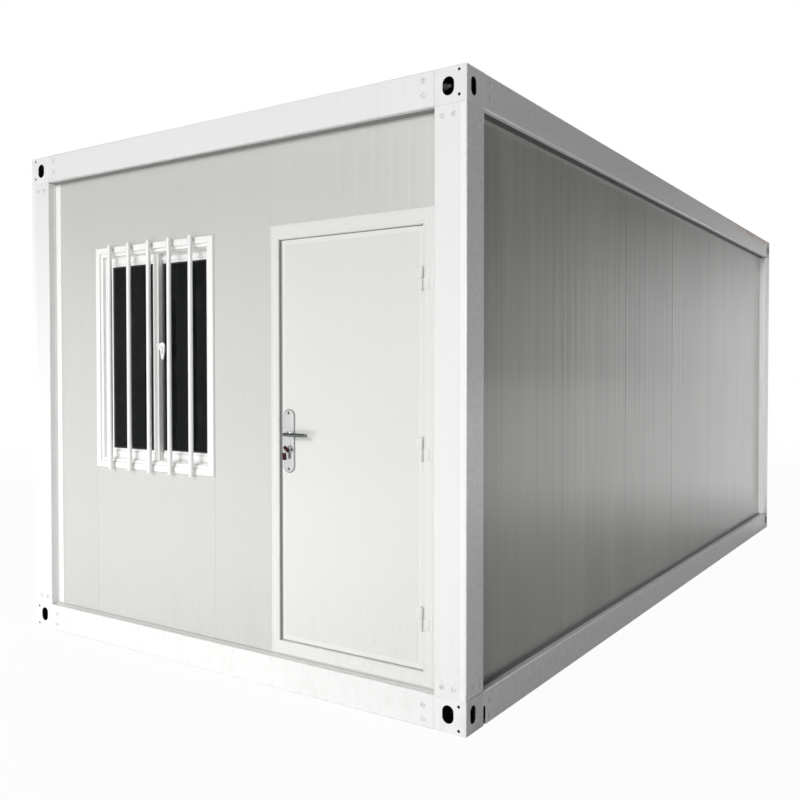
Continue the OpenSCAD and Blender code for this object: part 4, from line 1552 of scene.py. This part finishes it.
class CONTAINER_OT_lock(bpy.types.Operator):
    """Make the lock plates, the levers, the cylinder and the key"""

    bl_idname = "container.lock"
    bl_label = "Lock and handles"

    def execute(self, context):
        steps = context.scene.container_sizes.turning_steps
        low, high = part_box("lock_plates")
        bm = merged("lock_plates")
        soften(bm, sharp(bm, 50), 2.8 * MM, 4)
        finished(bm, "lock_plate_covers", "chrome", "door", ["lock_plates"], 35)
        self.make_gaskets(low, high)
        bm = merged("door_handle")
        soften(bm, sharp(bm, 60), 1.6 * MM, 3)
        finished(bm, "door_levers", "lever_metal", "handle", ["door_handle"], 35)
        x = (low.x + high.x) / 2
        spindle = sum(corner.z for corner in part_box("door_handle")) / 2
        cylinder = spindle - 71 * MM
        collar = [(0, 0), (14.5, 0), (15, 0.6), (14.6, 4.2), (13, 5.6)]
        rose = turned(steps, *collar, (10.4, 6.2), (9.4, 6.2), (9.2, 1), (0, 1))
        screw = turned(20, (0, 0.2), (1.8, 0.2), (2.2, 1.4), (6.4, 1.0), (7.8, 0.0), (0, 0))
        barrel = turned(steps, (0, 0), (8.5, 0), (8.5, 5.0), (7.6, 6.0), (0, 6.0))
        fixed, screws = new_mesh(), new_mesh()
        for y, out in ((low.y, -1), (high.y, 1)):
            stamp(fixed, rose, aimed((x, y, spindle), (0, out, 0)))
            stamp(fixed, barrel, aimed((x, y, cylinder), (0, out, 0)))
            for z in (low.z + 15 * MM, high.z - 15 * MM):
                stamp(screws, screw, aimed((x, y, z), (0, out, 0)))
        finished(fixed, "lock_roses", "chrome", "door", round_to=40)
        finished(screws, "lock_screws", "lever_metal", "door", round_to=40)
        self.make_key(Vector((x, low.y - 6 * MM, cylinder)))
        return {"FINISHED"}

    def make_gaskets(self, low, high):
        """The grey gaskets that show round both plates, flat against the leaf, painting the shade round
        each plate's edge.
        """
        bm = merged("lock_plates")
        middle = (low + high) / 2
        leaf_low, leaf_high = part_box("door_leaf")
        rim, height = 4.5 * MM, 1.4 * MM
        for vert in bm.verts:
            for axis in (0, 2):
                grow = 1 + 2 * rim / (high[axis] - low[axis])
                vert.co[axis] = middle[axis] + (vert.co[axis] - middle[axis]) * grow
            if vert.co.y < low.y + MM:
                vert.co.y = leaf_low.y - height
            elif vert.co.y > high.y - MM:
                vert.co.y = leaf_high.y + height
        soften(bm, sharp(bm, 50), 0.4 * MM, 1)
        finished(bm, "lock_plate_gaskets", "sealant", "door", round_to=35)

    def make_key(self, place):
        """A key in the barrel, turned a little, with a tag on its ring."""
        turn = Matrix.Translation(place) @ Matrix.Rotation(math.radians(38), 4, "Y")
        hung = place + Vector((-9 * MM, -13 * MM, -9 * MM))
        tilt = Matrix.Rotation(math.radians(-6), 4, "Y") @ Matrix.Rotation(math.radians(14), 4, "Z")
        metal, plastic = new_mesh(), new_mesh()
        self.add_block(metal, turn, (-4, 4), (-5, 0), (-1.1, 1.1), 0.3)
        ring = new_mesh()
        wire = Matrix.Translation((9 * MM, 0, 0)) @ Matrix.Rotation(math.radians(90), 4, "X")
        verts = bmesh.ops.create_circle(ring, radius=MM, segments=8, matrix=wire)["verts"]
        full_spin(ring, verts + edges_of(verts), 24)
        stamp(metal, pattern(ring), aimed(hung, (0.35, -1, 0.1)))
        finished(metal, "key_blade", "chrome", "door", round_to=40)
        self.add_block(plastic, turn, (-19, 19), (-19, -4), (-8, 8), 5, 4)
        tag = Matrix.Translation(hung + Vector((-3 * MM, 0, -26 * MM))) @ tilt
        self.add_block(plastic, tag, (-11, 11), (-2.4, 2.4), (-18, 18), 2, 3)
        finished(plastic, "key_tag", "tag_plastic", "door", round_to=40)

    def add_block(self, bm, place, x, y, z, radius, segments=1):
        """A block given in millimetres, turned to its place."""
        loose = new_mesh()
        block(loose, *(span(0, *ends) for ends in (x, y, z)), radius, segments)
        stamp(bm, pattern(loose), place)


# ------------------------------------------------------------------- stage

CAMERA_PLACE = (3.3015, -6.1034, 1.5261)
CAMERA_TURN = (math.pi / 2 - 0.0209, 0.0, 0.5777)
CAMERA_LENS = 39.2
CAMERA_SHIFT = (-0.0231, -0.0116)
CAMERA_REACH = 400.0
FLOOR_HALF = 120.0
WHITE = (1, 1, 1, 1)


def add_object(name, data):
    """A new object of the stage, in the scene."""
    made = bpy.data.objects.new(name, data)
    bpy.context.scene.collection.objects.link(made)
    return made


def add_sun(name, bearing, elevation, strength, width):
    """A far, soft lamp; bearing is in degrees to the left of the front."""
    lamp = bpy.data.lights.new(name, "SUN")
    lamp.energy = strength
    lamp.angle = math.radians(width)
    a, e = math.radians(bearing), math.radians(elevation)
    towards = Vector((-math.sin(a) * math.cos(e), -math.cos(a) * math.cos(e), math.sin(e)))
    add_object(name, lamp).rotation_euler = towards.to_track_quat("Z", "Y").to_euler()


def add_panel_light(name, place, size, power):
    """A soft box in front of the container that only sheds light."""
    lamp = bpy.data.lights.new(name, "AREA")
    lamp.shape = "RECTANGLE"
    lamp.size, lamp.size_y = size
    lamp.energy = power
    panel = add_object(name, lamp)
    panel.location = place
    panel.rotation_euler = (math.radians(90), 0, 0)
    for kind in ("camera", "glossy", "transmission"):
        setattr(panel, "visible_" + kind, False)


def add_camera():
    """The camera: near, to the right of the front, at standing height."""
    lens = bpy.data.cameras.new("camera")
    lens.lens = CAMERA_LENS
    lens.shift_x, lens.shift_y = CAMERA_SHIFT
    lens.clip_end = CAMERA_REACH
    camera = add_object("camera", lens)
    camera.location = CAMERA_PLACE
    camera.rotation_euler = CAMERA_TURN
    bpy.context.scene.camera = camera


def rays(f):
    """Numbers that are 1 for a camera ray, for a mirrored ray and for one through glass."""
    kinds = ("Is Camera Ray", "Is Glossy Ray", "Is Transmission Ray")
    return [f.node("ShaderNodeLightPath", output=kind) for kind in kinds]


class CONTAINER_OT_stage(bpy.types.Operator):
    """Set the floor, the lamps, the world and the camera"""

    bl_idname = "container.stage"
    bl_label = "Stage"

    def execute(self, context):
        context.scene.view_settings.view_transform = "Standard"
        bm = bmesh.new()
        bmesh.ops.create_grid(bm, x_segments=8, y_segments=8, size=FLOOR_HALF)
        mesh = bpy.data.meshes.new("studio_floor")
        bm.to_mesh(mesh)
        bm.free()
        mesh.materials.append(self.floor_finish())
        floor = add_object("studio_floor", mesh)
        add_sun("key_lamp", 0, 22, 1.12, 67)
        add_sun("fill_lamp", -5, 22, 1.06, 14)
        add_sun("back_lamp", 150, 30, 1.4, 60)
        add_panel_light("low_lamp", (-1.0, -5.4, 0.40), (4.2, 0.5), 28.5)
        self.light_world(context.scene)
        add_camera()
        return {"FINISHED"}

    def floor_finish(self):
        """Pale matt floor that keeps a soft shadow and fades to white far away."""
        f = Finish(bpy.data.materials.new("studio_floor"))
        seen, mirrored, through = rays(f)
        flat = f.node("ShaderNodeVectorMath", {"operation": "LENGTH"}, {0: f.place()}, "Value")
        far, away = flat.rising(5.0, 16.0), flat.rising(2.6, 7.0)
        grey = f.mix((0.8, 0.8, 0.8), (0.84, 0.84, 0.84), f.noise(2.0))
        own = f.node("ShaderNodeBsdfDiffuse", None, {"Color": grey})
        white = f.node("ShaderNodeEmission", None, {"Color": WHITE, "Strength": 1.0})
        share = (seen + through).clipped() * (0.955 + far * 0.045) + mirrored * (away * 0.85)
        return f.show(f.node("ShaderNodeMixShader", None, {0: share.clipped(), 1: own, 2: white}))

    def light_world(self, scene):
        """White where it is seen, and a dim even sky for the light it gives.

        A mirrored ray finds it bright only low down, and duller to the right.
        """
        scene.world = bpy.data.worlds.new("studio")
        f = Finish(scene.world)
        seen, mirrored, through = rays(f)
        direction = f.node("ShaderNodeTexCoord", output="Generated")
        dim = f.node("ShaderNodeSeparateXYZ", None, {0: direction}, "Z").rising(0.03, 0.215)
        aside = f.node("ShaderNodeSeparateXYZ", None, {0: direction}, "X").rising(0.18, 0.50)
        glow = f.shaded(f.mix((1, 1, 1), (0.13, 0.13, 0.13), dim), 1.0 - aside * 0.65)
        mirror = f.node("ShaderNodeBackground", None, {"Color": glow})
        white = f.node("ShaderNodeBackground", None, {"Color": WHITE, "Strength": 1.0})
        sky = f.node("ShaderNodeBackground", None, {"Color": WHITE, "Strength": 0.085})
        lit = f.node("ShaderNodeMixShader", None, {0: mirrored, 1: sky, 2: mirror})
        shown = (seen + through).clipped()
        f.show(f.node("ShaderNodeMixShader", None, {0: shown, 1: lit, 2: white}))


# ----------------------------------------------------------------- add-on

MAKERS = (
    CONTAINER_OT_steel_frame,
    CONTAINER_OT_inner_steel,
    CONTAINER_OT_frame_bolts,
    CONTAINER_OT_walls,
    CONTAINER_OT_wall_trims,
    CONTAINER_OT_roof,
    CONTAINER_OT_interior,
    CONTAINER_OT_window,
    CONTAINER_OT_window_bars,
    CONTAINER_OT_door_frame,
    CONTAINER_OT_door_leaf,
    CONTAINER_OT_hinges,
    CONTAINER_OT_lock,
    CONTAINER_OT_stage,
)


class CONTAINER_PT_parts(bpy.types.Panel):
    """The parts of the container, in the order in which they are made"""

    bl_idname = "CONTAINER_PT_parts"
    bl_label = "Office container"
    bl_space_type = "VIEW_3D"
    bl_region_type = "UI"
    bl_category = "Container"

    def draw(self, context):
        column = self.layout.column(align=True)
        for maker in MAKERS:
            column.operator(maker.bl_idname)
        for group in (context.scene.container_sizes, context.scene.container_colours):
            box = self.layout.box()
            for name in group.__annotations__:
                box.prop(group, name)


CLASSES = (ContainerSizes, ContainerColours) + MAKERS + (CONTAINER_PT_parts,)


def register():
    for cls in CLASSES:
        bpy.utils.register_class(cls)
    bpy.types.Scene.container_sizes = PointerProperty(type=ContainerSizes)
    bpy.types.Scene.container_colours = PointerProperty(type=ContainerColours)


def unregister():
    del bpy.types.Scene.container_colours
    del bpy.types.Scene.container_sizes
    for cls in reversed(CLASSES):
        bpy.utils.unregister_class(cls)


def main():
    register()
    for maker in MAKERS:
        group, name = maker.bl_idname.split(".")
        result = getattr(getattr(bpy.ops, group), name)()
        if "FINISHED" not in result:
            raise RuntimeError(maker.bl_label + " was not made")


if __name__ == "__main__":
    main()
